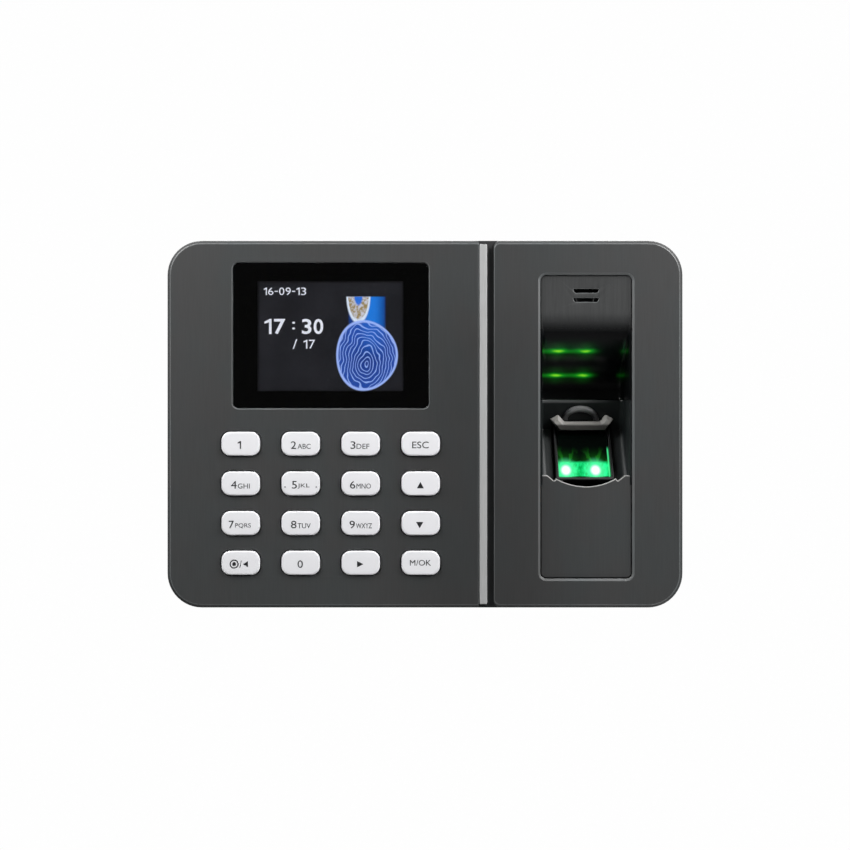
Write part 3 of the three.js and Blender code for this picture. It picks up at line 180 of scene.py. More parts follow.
class Graph:
    """The nodes of one material."""

    def __init__(self, title: str) -> None:
        """Makes an empty material.

        Args:
            title: the material's name.
        """
        self.material = bpy.data.materials.new(title)
        self.material.use_nodes = True
        self.tree = self.material.node_tree
        self.tree.nodes.clear()

    def node(
        self, kind: str, settings: dict | None = None, sockets: dict | None = None,
        out: int | str = 0,
    ) -> Signal:
        """Adds any node: its settings first, then the values or links of its sockets.

        Args:
            kind: the node's type.
            settings: properties by name.
            sockets: values or signals by input name or number.
            out: the output that the result stands for.

        Returns:
            The chosen output.
        """
        made = self.tree.nodes.new(kind)
        for name, value in (settings or {}).items():
            setattr(made, name, value)
        for name, value in (sockets or {}).items():
            target = made.inputs[name]
            if isinstance(value, Signal):
                self.tree.links.new(value.socket, target)
            elif isinstance(value, tuple) and target.type == "RGBA":
                target.default_value = (*value, 1.0)
            else:
                target.default_value = value
        return Signal(self, made.outputs[out] if made.outputs else None)

    def place(self, stretch: Place = (1.0, 1.0, 1.0)) -> Signal:
        """The surface's place in millimetres, times a stretch along each axis.

        Args:
            stretch: the stretch along x, y and z.

        Returns:
            The place as a vector.
        """
        here = self.node("ShaderNodeTexCoord", out="Object")
        scale = tuple(s / MM for s in stretch)
        return self.node("ShaderNodeVectorMath", {"operation": "MULTIPLY"}, {0: here, 1: scale})

    def axes(self) -> tuple[Signal, Signal, Signal]:
        """The surface's x, y and z in millimetres.

        Returns:
            The three values.
        """
        split = self.node("ShaderNodeSeparateXYZ", None, {0: self.place()})
        outputs = split.socket.node.outputs
        return Signal(self, outputs[0]), Signal(self, outputs[1]), Signal(self, outputs[2])

    def noise(self, size: float, stretch: Place = (1.0, 1.0, 1.0), detail: float = 3.0) -> Signal:
        """Smooth noise from 0 to 1.

        Args:
            size: the size of its patches in millimetres.
            stretch: how much finer it is along each axis.
            detail: how many finer layers it has.

        Returns:
            The noise.
        """
        sockets = {
            "Vector": self.place(stretch), "Scale": 1.0 / size, "Detail": detail,
            "Roughness": 0.55,
        }
        return self.node("ShaderNodeTexNoise", None, sockets)

    def blend(self, share: Value, first: Value, second: Value) -> Signal:
        """Mixes two colours by a share from 0, all first, to 1, all second."""
        return self.node("ShaderNodeMix", {"data_type": "RGBA"}, {0: share, 6: first, 7: second}, 2)

    def bump(self, height: Signal, depth: float) -> Signal:
        """A normal from a height.

        Args:
            height: the height, from 0 to 1.
            depth: how many millimetres a height of 1 stands for.

        Returns:
            The normal.
        """
        sockets = {"Strength": 1.0, "Distance": depth * MM, "Height": height}
        return self.node("ShaderNodeBump", None, sockets, "Normal")

    def away(self, x: Signal, z: Signal) -> Signal:
        """How far a place is from a point, from its two offsets."""
        return (x * x + z * z) ** 0.5

    def sine(self, angle: Signal) -> Signal:
        """The sine of an angle."""
        return self.node("ShaderNodeMath", {"operation": "SINE"}, {0: angle})

    def finish(self, sockets: dict) -> bpy.types.Material:
        """Adds the surface shader and the output.

        Args:
            sockets: the surface shader's values or signals by input name.

        Returns:
            The material.
        """
        surface = self.node("ShaderNodeBsdfPrincipled", None, sockets)
        self.node("ShaderNodeOutputMaterial", None, {"Surface": surface})
        return self.material


# ---------------------------------------------------------------- finishes


@dataclass(frozen=True)
class Finish:
    """A finish: its colour, gloss and grain."""

    title: str
    colour: Colour
    roughness: float = 0.5
    metallic: float = 0.0
    grain: float = 0.5
    depth: float = 0.01
    varied: float = 0.08
    stretch: Place = (1.0, 1.0, 1.0)
    fixed: tuple[tuple[str, float], ...] = ()

    def paint(self, graph: Graph) -> dict:
        """Grain in colour, gloss and height.

        Args:
            graph: the material's graph.

        Returns:
            The surface shader's sockets.
        """
        fine = graph.noise(self.grain, self.stretch)
        broad = graph.noise(self.grain * 40.0, self.stretch, 2.0)
        both = fine * 0.6 + broad * 0.4
        dark = tuple(c * (1.0 - self.varied) for c in self.colour)
        light = tuple(min(1.0, c * (1.0 + self.varied)) for c in self.colour)
        return {
            "Base Color": graph.blend(both.step(*WIDE_SPLIT), dark, light),
            "Roughness": both * (0.24 * self.roughness) + 0.88 * self.roughness,
            "Metallic": self.metallic,
            "Normal": graph.bump(fine, self.depth),
            **dict(self.fixed),
        }

    def material(self) -> bpy.types.Material:
        """This finish's material, made once.

        Returns:
            The material.
        """
        title = f"finish_{self.title}"
        known = bpy.data.materials.get(title)
        if known:
            return known
        graph = Graph(title)
        return graph.finish(self.paint(graph))


@dataclass(frozen=True)
class HairlineSatin(Finish):
    """Satin plastic with faint upright hairlines, and painted shade beside the trim that grows
    lower down.
    """

    hairline: float = 0.35
    contrast: float = 0.08
    cloud: float = 16.0
    pore: float = 0.18
    cooler: Colour = (0.95, 1.01, 1.02)
    # painted shade: where the trim is, how far from it the shade reaches, the heights over which it
    # grows downwards, and its shares lower down and at every height
    trim: float = 22.0
    reach: Point = (48.0, 8.0)
    rise: Point = (62.0, 20.0)
    painted_shade: Point = (0.16, 0.08)

    def paint(self, graph: Graph) -> dict:
        """Hairlines over cloudiness, with painted shade beside the trim.

        Args:
            graph: the material's graph.

        Returns:
            The surface shader's sockets.
        """
        lines = graph.noise(self.hairline, UPRIGHT, 4.0)
        clouds = graph.noise(self.cloud, (1.0, 1.0, 0.6), 2.0)
        pores = graph.noise(self.pore, detail=2.0)
        cool = tuple(c * share for c, share in zip(self.colour, self.cooler))
        tint = graph.blend(clouds.step(*SPLIT), self.colour, cool)
        # painted shade: the colour is darkened beside the trim, more so lower down
        x, _, z = graph.axes()
        near = (x - self.trim).size().step(*self.reach)
        low, everywhere = self.painted_shade
        tint = graph.blend(near * (z.step(*self.rise) * low + everywhere), tint, BLACK)
        dark = graph.blend(self.contrast, tint, BLACK)
        return {
            "Base Color": graph.blend(lines.step(*SPLIT), dark, tint),
            "Roughness": lines * 0.08 + clouds * 0.05 + (self.roughness - 0.06),
            "Metallic": self.metallic,
            "Normal": graph.bump(lines * 0.5 + pores * 0.5, self.depth),
            **dict(self.fixed),
        }


@dataclass(frozen=True)
class Rolled(Finish):
    """Bare metal with lines of brushing along one axis."""

    def paint(self, graph: Graph) -> dict:
        """Brushing lines in colour, gloss and height.

        Args:
            graph: the material's graph.

        Returns:
            The surface shader's sockets.
        """
        lines = graph.noise(self.grain, self.stretch, 4.0)
        stains = graph.noise(12.0, detail=2.0)
        dark = tuple(c * (1.0 - self.varied) for c in self.colour)
        return {
            "Base Color": graph.blend(lines.step(*WIDE_SPLIT), dark, self.colour),
            "Roughness": lines * 0.16 + stains * 0.08 + (self.roughness - 0.12),
            "Metallic": self.metallic,
            "Normal": graph.bump(lines, self.depth),
        }


@dataclass(frozen=True)
class Spangled(Finish):
    """Zinc coating with its crystals."""

    crystal: float = 5.0
    dimmed: float = 0.88

    def paint(self, graph: Graph) -> dict:
        """Crystals of slightly different greys.

        Args:
            graph: the material's graph.

        Returns:
            The surface shader's sockets.
        """
        sockets = {"Vector": graph.place(), "Scale": 1.0 / self.crystal}
        cells = graph.node("ShaderNodeTexVoronoi", None, sockets, "Color")
        shade = graph.node("ShaderNodeSeparateColor", None, {0: cells})
        fine = graph.noise(0.4)
        dark = tuple(c * self.dimmed for c in self.colour)
        return {
            "Base Color": graph.blend(shade, dark, self.colour),
            "Roughness": shade * 0.2 + fine * 0.1 + (self.roughness - 0.12),
            "Metallic": self.metallic,
            "Normal": graph.bump(fine * 0.4 + shade * 0.6, self.depth),
        }


@dataclass(frozen=True)
class Copperboard(Finish):
    """Circuit board under green lacquer, with its tracks."""

    spacing: float = 0.22
    wander: float = 6.0
    track: Point = (0.55, 0.62)
    lighter: float = 1.9

    def paint(self, graph: Graph) -> dict:
        """Tracks under lacquer.

        Args:
            graph: the material's graph.

        Returns:
            The surface shader's sockets.
        """
        across = {"bands_direction": "X", "wave_profile": "SIN"}
        sockets = {
            "Vector": graph.place(), "Scale": self.spacing, "Distortion": self.wander,
            "Detail": 1.0, "Detail Scale": 0.4,
        }
        tracks = graph.node("ShaderNodeTexWave", across, sockets, "Fac").step(*self.track)
        weave = graph.noise(0.6)
        light = tuple(c * self.lighter for c in self.colour)
        return {
            "Base Color": graph.blend(tracks, self.colour, light),
            "Roughness": weave * 0.2 + (self.roughness - 0.1),
            "Metallic": 0.0,
            "Normal": graph.bump(tracks * 0.8 + weave * 0.2, self.depth),
        }


@dataclass(frozen=True)
class Moulded(Finish):
    """The well's lining: satin at the face, black gloss and painted shade further in, a painted
    highlight along the ledge, and the lamps' glints as painted reflections given as emission.
    """

    inner: Colour = (0.003, 0.0035, 0.004)
    side: Colour = (0.011, 0.0145, 0.015)
    # painted highlight along the ledge, fading towards the right
    ledge_highlight: Colour = (0.13, 0.135, 0.138)
    face: float = -35.2
    deep: float = -33.9
    fade: Point = (42.0, 32.2)
    ledge: float = 9.2
    lip_below: float = 0.45
    lip_half: Point = (0.95, 0.35)
    lip_depth: Point = (-22.6, -21.4)
    lip_across: Point = (73.0, 58.0)
    # painted reflections of the lamps, given as emission: their heights, widths and bright spots
    glint_heights: Sequence[float] = (27.3, 18.6)
    glint_half: float = 1.9
    halo_half: float = 4.0
    spots: Sequence[float] = (49.8, 60.2)
    spot_half: float = 5.6
    glint_end: Point = (67.0, 57.0)
    repeat: Place = (74.6, 2.6, 0.2)
    slope: Place = (27.3, -28.2, 1.138)
    slope_fade: Point = (-3.0, -1.6)

    def glints(self, place: Sequence[Signal], waves: Signal) -> Signal:
        """How strongly the lamps' painted reflections show in the scoop, away from its side walls.

        Args:
            place: the place across, in depth and in height.
            waves: the unevenness of the gloss.

        Returns:
            A value from 0 to about 1.
        """
        x, y, z = place
        height, depth, rate = self.slope
        back = (y - depth + (z - height) * rate).step(*self.slope_fade)
        middle, far, near_by = self.repeat
        total: Value = 0.0
        for glint_z in self.glint_heights:
            off = (z - glint_z + (waves - 0.5) * 0.7).size()
            core = off.step(self.glint_half, 0.0)
            line = core * core * core + off.step(self.halo_half, 0.0) * 0.1
            glow = x.step(*self.glint_end) * 0.24 + (x - middle).size().step(far, near_by) * 0.05
            for spot in self.spots:
                near = (x - spot).size().step(self.spot_half, 0.0)
                glow = glow + near * near * 0.62
            total = line * glow + total
        return total * back

    def paint(self, graph: Graph) -> dict:
        """Satin that turns to black gloss with depth and lower down; the darkening is partly
        painted shade.

        Args:
            graph: the material's graph.

        Returns:
            The surface shader's sockets.
        """
        x, y, z = place = graph.axes()
        # black gloss deeper in, and painted shade: the colour darkens with depth and lower down in
        # the scoop
        inside = y.step(self.face + 0.05, self.deep).most(z.step(*self.fade))
        low = z.step(self.ledge + 0.2, self.ledge - 1.0)
        # painted highlight: a lighter band along the ledge, fading towards the right
        ledge_highlight = (z - self.ledge + self.lip_below).size().step(*self.lip_half)
        ledge_highlight = ledge_highlight * y.step(*self.lip_depth) * x.step(*self.lip_across)
        lines = graph.noise(0.35, UPRIGHT, 4.0)
        wear = graph.noise(3.0, (1.0, 1.0, 1.0), 5.0)
        outer = graph.blend(lines.step(*SPLIT), tuple(c * 0.84 for c in self.colour), self.colour)
        gloss = low * 0.22 + wear * 0.05 + 0.2
        satin = lines * 0.1 + (self.roughness - 0.05)
        black = graph.blend(ledge_highlight, graph.blend(low, self.inner, self.side), self.ledge_highlight)
        # painted reflection: the lamps' light seen in the scoop is given as emission of the lining
        glint_strength = self.glints(place, wear)
        green = graph.blend(glint_strength.step(0.35, 0.95), (0.01, 0.52, 0.02), (0.2, 0.72, 0.02))
        return {
            "Base Color": graph.blend(inside, outer, black),
            "Roughness": inside * gloss + (1.0 - inside) * satin,
            "Metallic": 0.0,
            "Emission Color": graph.blend(glint_strength, BLACK, green),
            "Emission Strength": 1.0,
            "Normal": graph.bump(lines * (1.0 - inside), self.depth),
        }


@dataclass(frozen=True)
class Shaded(Finish):
    """A gloss moulding with a painted highlight that lightens it towards its top."""

    rise: Point = (-1.6, 0.4)
    painted_highlight: float = 2.6

    def paint(self, graph: Graph) -> dict:
        """Grain under a painted highlight that lightens the top.

        Args:
            graph: the material's graph.

        Returns:
            The surface shader's sockets.
        """
        sockets = super().paint(graph)
        _, _, z = graph.axes()
        # painted highlight: the colour is lightened towards the top, where light falls
        light = tuple(min(1.0, c * self.painted_highlight) for c in self.colour)
        sockets["Base Color"] = graph.blend(z.step(*self.rise), sockets["Base Color"], light)
        return sockets


@dataclass(frozen=True)
class Lamp(Finish):
    """A clear lamp that shines."""

    glow: Colour = (0.05, 1.0, 0.25)
    power: float = 4.0

    def paint(self, graph: Graph) -> dict:
        """A glow with a slight grain.

        Args:
            graph: the material's graph.

        Returns:
            The surface shader's sockets.
        """
        grain = graph.noise(self.grain)
        dim = tuple(c * 0.75 for c in self.glow)
        return {
            "Base Color": self.colour,
            "Roughness": grain * 0.1 + self.roughness,
            "Emission Color": graph.blend(grain, dim, self.glow),
            "Emission Strength": self.power,
        }


@dataclass(frozen=True)
class SensorGlass(Finish):
    """Dark sensor glass that glows with painted light of the lamps behind it: the lit bar at its
    foot, two hot spots, short rays and a lit edge.
    """

    middle: Point = (57.9, -17.1)
    spread: float = 5.5
    core: Point = (2.4, 0.5)
    bloom: Point = (5.2, 0.5)
    rays: Point = (9.5, 1.5)
    haze: Point = (10.0, 1.0)
    beams: float = 9.0
    bar: Point = (-14.3, -19.2)
    bar_left: Point = (49.6, 51.2)
    right: float = 68.1
    right_top: Point = (-8.2, -10.0)
    ray_green: Colour = (0.03, 0.5, 0.03)
    dim_green: Colour = (0.0, 0.26, 0.05)
    green: Colour = (0.01, 0.66, 0.2)
    edge_green: Colour = (0.05, 0.6, 0.2)
    bloom_green: Colour = (0.1, 0.95, 0.4)
    hot: Colour = (0.9, 1.0, 0.9)

    def paint(self, graph: Graph) -> dict:
        """The lit bar, its hot spots and rays, as painted light given as emission.

        Args:
            graph: the material's graph.

        Returns:
            The surface shader's sockets.
        """
        # painted light: the lamps behind the glass, their glare and a lit edge are given as
        # emission of the glass
        x, _, z = graph.axes()
        top, low = self.bar
        waves = graph.noise(1.4, (1.0, 0.2, 0.6), 4.0)
        bar = (z + waves * 1.1).step(top + 1.3, top + 0.2) * z.step(low - 0.3, low + 0.1)
        bar = bar * (x + waves * 0.8).step(*self.bar_left)
        off = (x - self.middle[0]).size() - self.spread
        drop = z - self.middle[1]
        away = graph.away(off, drop)
        turns = graph.node("ShaderNodeMath", {"operation": "ARCTAN2"}, {0: drop, 1: off})
        rays = graph.sine(turns * self.beams + waves * 5.0).step(0.1, 1.0) * away.step(*self.rays)
        haze = away.step(*self.haze)
        edge = x.step(self.right, self.right + 0.25) * z.step(*self.right_top)
        green = graph.blend(waves.step(0.3, 0.75), self.dim_green, self.green)
        lit = graph.blend(rays * 0.2 + haze * haze * 0.14, BLACK, self.ray_green)
        lit = graph.blend(bar, lit, green)
        lit = graph.blend(edge * 0.75, lit, self.edge_green)
        lit = graph.blend(away.step(*self.bloom) * 0.75, lit, self.bloom_green)
        lit = graph.blend(away.step(*self.core), lit, self.hot)
        return {
            "Base Color": self.colour,
            "Roughness": waves * 0.03 + self.roughness,
            "Emission Color": lit,
            "Emission Strength": 1.6,
            **dict(self.fixed),
        }


@dataclass(frozen=True)
class Picture(Finish):
    """What the display shows behind its digits: a grey field, a blue beam and a finger pattern."""

    left: Point = (-62.0, -60.9)
    right: Point = (-7.8, -8.9)
    foot: Point = (12.0, 13.1)
    top: Point = (53.0, 51.9)
    mist: float = 14.0
    greys: tuple[Colour, Colour] = ((0.009, 0.0092, 0.0118), (0.0155, 0.0155, 0.0195))
    cut: Point = (47.3, 46.9)
    beam_left: Point = (-28.6, -27.6)
    beam_right: Point = (-14.2, -15.4)
    beam_foot: Point = (23.0, 32.0)
    beam_core: Place = (-19.8, 6.2, 0.5)
    beam_blues: tuple[Colour, Colour] = ((0.004, 0.045, 0.25), (0.012, 0.2, 0.75))
    tip_at: Point = (-24.6, 47.6)
    tip_reach: Point = (4.1, 9.6)
    golds: tuple[Colour, Colour] = ((0.62, 0.62, 0.7), (0.34, 0.25, 0.1))
    tip_rim: Colour = (0.75, 0.85, 1.0)
    tip_blue: Colour = (0.02, 0.17, 0.75)
    pad_at: Point = (-21.4, 25.4)
    pad_reach: Point = (11.0, 12.6)
    pad_lean: float = 0.12
    pad_blues: tuple[Colour, Colour] = ((0.006, 0.04, 0.3), (0.02, 0.1, 0.55))
    core_up: float = 0.22
    core_shares: Point = (1.25, 0.72)
    ridges: float = 58.0
    ridge_blue: Colour = (0.34, 0.5, 1.0)
    rim_blue: Colour = (0.36, 0.5, 1.0)

    def beam(self, graph: Graph, shown: Signal) -> Signal:
        """Adds the beam and the bone tip in it.

        Args:
            graph: the material's graph.
            shown: what is shown behind them.

        Returns:
            What is shown with them.
        """
        x, _, z = graph.axes()
        below = z.step(*self.cut)
        mask = x.step(*self.beam_left) * x.step(*self.beam_right) * below * z.step(*self.beam_foot)
        middle, far, near = self.beam_core
        blue = graph.blend((x - middle).size().step(far, near), *self.beam_blues)
        shown = graph.blend(mask, shown, blue)
        u = (x - self.tip_at[0]) / self.tip_reach[0]
        v = (z - self.tip_at[1]) / self.tip_reach[1]
        tip = graph.away(u, v)
        gold = graph.blend(graph.noise(1.1).step(0.4, 0.6), *self.golds)
        shown = graph.blend(tip.step(1.02, 0.93) * below, shown, gold)
        shown = graph.blend((tip - 1.0).size().step(0.14, 0.02) * below, shown, self.tip_rim)
        return graph.blend(tip.step(0.45, 0.3) * below, shown, self.tip_blue)

    def pad(self, graph: Graph, shown: Signal) -> Signal:
        """Adds the fingertip with its ridges.

        Args:
            graph: the material's graph.
            shown: what is shown behind it.

        Returns:
            What is shown with it.
        """
        x, _, z = graph.axes()
        u = (x - self.pad_at[0]) / self.pad_reach[0]
        v = (z - self.pad_at[1]) / self.pad_reach[1]
        lean = u + v * v * self.pad_lean
        rim = graph.away(lean, v)
        mask = rim.step(1.02, 0.97)
        shown = graph.blend(mask * 0.72, shown, graph.blend(rim, *self.pad_blues))
        drop = v + self.core_up
        wobble = graph.noise(5.5, detail=1.0) * 0.35
        wide, tall = self.core_shares
        swirl = (lean * lean * wide + drop * drop * tall) ** 0.5 + wobble
        ridges = graph.sine(swirl * self.ridges).step(0.45, 1.0)
        shown = graph.blend(ridges * mask * 0.9, shown, self.ridge_blue)
        return graph.blend((rim - 1.0).size().step(0.06, 0.01), shown, self.rim_blue)

    def paint(self, graph: Graph) -> dict:
        """The picture as light.

        Args:
            graph: the material's graph.

        Returns:
            The surface shader's sockets.
        """
        x, _, z = graph.axes()
        inside = x.step(*self.left) * x.step(*self.right) * z.step(*self.foot) * z.step(*self.top)
        mist = graph.noise(self.mist, detail=2.0)
        back = graph.blend(inside, BLACK, graph.blend(mist.step(0.3, 0.75), *self.greys))
        return {
            "Base Color": self.colour,
            "Roughness": self.roughness,
            "Emission Color": self.pad(graph, self.beam(graph, back)),
            "Emission Strength": 1.0,
        }


class Look(Enum):
    """Every finish of the terminal."""

    BODY = HairlineSatin("satin_body", (0.056, 0.0565, 0.0568), 0.46, depth=0.002)
    # painted highlight: a lighter satin for rounded edges, slanted rims and slot edges, standing
    # for light caught on them
    EDGE = HairlineSatin("satin_edge_highlight", (0.14, 0.143, 0.144), 0.4, depth=0.002)
    # painted highlight: a light grey for the lower cover's top edge, standing for light caught on
    # it
    BRIGHT = Finish("cover_edge_highlight", (0.4, 0.4, 0.39), 0.35, grain=0.3, depth=0.002)
    REAR = Finish("moulded_rear", (0.03, 0.031, 0.032), 0.6, grain=0.45, depth=0.03)
    STRIP = Rolled(
        "brushed_strip", (0.57, 0.575, 0.575), 0.42, 0.25, 0.25, 0.004, 0.1, (1.0, 1.0, 0.04),
    )
    # painted shade: the groove's floor is darker than the panels
    GROOVE = Finish("groove_floor", (0.022, 0.023, 0.024), 0.55, grain=0.4, depth=0.01)
    PRINT = Finish(
        "window_print", (0.0004, 0.0004, 0.0005), 0.5, grain=0.3, depth=0.001,
        fixed=(("Specular IOR Level", 0.0),),
    )
    GLASS = Finish(
        "window_glass", (0.93, 0.94, 0.95), 0.03, grain=2.0, depth=0.0, varied=0.01,
        fixed=(("Transmission Weight", 1.0), ("IOR", 1.49)),
    )
    PICTURE = Picture("display_picture", (0.004, 0.004, 0.005), 0.3)
    DIGITS = Lamp(
        "display_digits", (0.4, 0.4, 0.42), 0.4, grain=0.8, glow=(0.78, 0.8, 0.88), power=1.0,
    )
    KEY = Finish("key_plastic", (0.9, 0.9, 0.925), 0.4, grain=0.3, depth=0.002, varied=0.012)
    INK = Finish("key_ink", (0.016, 0.016, 0.018), 0.55, grain=0.2, depth=0.001, varied=0.2)
    PALE_INK = Finish(
        "key_ink_pale", (0.026, 0.026, 0.029), 0.55, grain=0.2, depth=0.001, varied=0.2,
    )
    PIP = Finish("key_pip", (0.34, 0.34, 0.36), 0.5, grain=0.2, depth=0.001)
    LINER = Moulded("well_lining", (0.056, 0.0575, 0.058), 0.42, depth=0.002)
    # the hood's bracket and arch get a painted highlight on their tops
    HOOD = Shaded(
        "hood_gloss", (0.085, 0.082, 0.078), 0.3, grain=0.8, depth=0.002, rise=(-0.7, 0.4),
        painted_highlight=6.4,
    )
    ARCH = Shaded(
        "arch_gloss", (0.05, 0.05, 0.051), 0.3, grain=0.8, depth=0.002, rise=(3.4, 6.6), painted_highlight=8.0,
    )
    SENSOR = SensorGlass(
        "sensor_glass", (0.001, 0.003, 0.002), 0.06, fixed=(("Specular IOR Level", 0.3),),
    )
    FRAME = Finish("black_moulding", (0.012, 0.013, 0.014), 0.34, grain=0.5, depth=0.01)
    SOCKET = Finish("sensor_surround", (0.004, 0.005, 0.005), 0.6, grain=0.5, depth=0.01)
    LAMP = Lamp("green_lamp", (0.1, 0.4, 0.15), 0.15)
    RUBBER = Finish("key_rubber", (0.24, 0.25, 0.26), 0.8, grain=0.7, depth=0.02)
    BOARD = Copperboard("green_board", (0.012, 0.07, 0.028), 0.4, depth=0.02)
    CHIP = Finish("chip_resin", (0.014, 0.014, 0.015), 0.5, grain=0.25, depth=0.008)
    JACK = Rolled("jack_plating", (0.66, 0.66, 0.64), 0.34, 1.0, 0.3, 0.004, 0.15, (1.0, 1.0, 0.08))
    STEEL = Rolled("screw_steel", (0.55, 0.55, 0.54), 0.36, 1.0, 0.25, 0.004, 0.2, (1.0, 0.2, 1.0))
    ZINC = Spangled("zinc_plate", (0.5, 0.51, 0.515), 0.44, 0.3, depth=0.004, crystal=3.2)
    AMBER = Finish("ribbon_film", (0.38, 0.16, 0.035), 0.38, grain=1.2, depth=0.004)

    def material(self) -> bpy.types.Material:
        """This look's material."""
        return self.value.material()


# ---------------------------------------------------------------- shapes

# outlines of signs that letters don't make, in a square of side 1
SIGNS: dict[str, Sequence[Point]] = {
    "1": (
        (0.64, 0.0), (1.0, 0.0), (1.0, 1.0), (0.74, 1.0), (0.0, 0.82), (0.0, 0.69), (0.64, 0.77),
    ),
    "up": ((0.0, 0.0), (1.0, 0.0), (0.5, 1.0)),
    "down": ((0.0, 1.0), (0.5, 0.0), (1.0, 1.0)),
    "left": ((0.0, 0.5), (1.0, 0.0), (1.0, 1.0)),
    "right": ((0.0, 0.0), (1.0, 0.5), (0.0, 1.0)),
}
RING_BAND = 0.42  # width of a printed ring's band
RING_DOT = 0.72  # radius of the dot in it
PIP_DOME = ((1.0, 0.0), (0.85, 0.12), (0.4, 0.2))  # (share of the radius, height) of a raised dot
DASH_HALF = 0.18
NARROW = {"1": 0.62, "-": 0.62}  # widths of narrow numerals as shares of the others' width
NUMERAL_GAP = 0.22


@dataclass(frozen=True)
class Rect:
    """A rectangle seen from the front."""

    x0: float
    x1: float
    z0: float
    z1: float

    @staticmethod
    def about(x: float, z: float, width: float, height: float) -> Rect:
        """The rectangle of a width and height about a middle."""
        return Rect(x - width / 2, x + width / 2, z - height / 2, z + height / 2)

    @property
    def middle(self) -> Point:
        """The rectangle's middle."""
        return (self.x0 + self.x1) / 2, (self.z0 + self.z1) / 2

    def grown(self, by: float) -> Rect:
        """The rectangle made larger, or smaller, on every side."""
        return Rect(self.x0 - by, self.x1 + by, self.z0 - by, self.z1 + by)

    def corners(self, radii: float | Sequence[float], steps: int = 8) -> list[list[Point]]:
        """The rounded corners' points, anticlockwise from the lower left.

        Args:
            radii: one radius, or four in that order.
            steps: how many chords a corner has.

        Returns:
            Four lists of points.
        """
        sizes = [radii] * 4 if isinstance(radii, (int, float)) else list(radii)
        signs = [(1, 1), (-1, 1), (-1, -1), (1, -1)]
        spots = [(self.x0, self.z0), (self.x1, self.z0), (self.x1, self.z1), (self.x0, self.z1)]
        made = []
        for turn, (size, sign, spot) in enumerate(zip(sizes, signs, spots)):
            r = max(size, 1e-3)
            middle = (spot[0] + sign[0] * r, spot[1] + sign[1] * r)
            angles = [math.pi + (turn + i / steps) * math.pi / 2 for i in range(steps + 1)]
            made.append([
                (middle[0] + r * math.cos(a), middle[1] + r * math.sin(a)) for a in angles
            ])
        return made

    def outline(self, radii: float | Sequence[float], steps: int = 8) -> list[Point]:
        """The rounded rectangle's points, anticlockwise from the lower left."""
        return [p for corner in self.corners(radii, steps) for p in corner]


@dataclass(frozen=True)
class Box:
    """A CAD node's box in millimetres."""

    low: Vector
    high: Vector

    @staticmethod
    def of(node: str) -> Box:
        """The box of a CAD node at rest."""
        low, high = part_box(node)
        return Box(low / MM, high / MM)

    @property
    def rect(self) -> Rect:
        """The box seen from the front."""
        return Rect(self.low.x, self.high.x, self.low.z, self.high.z)


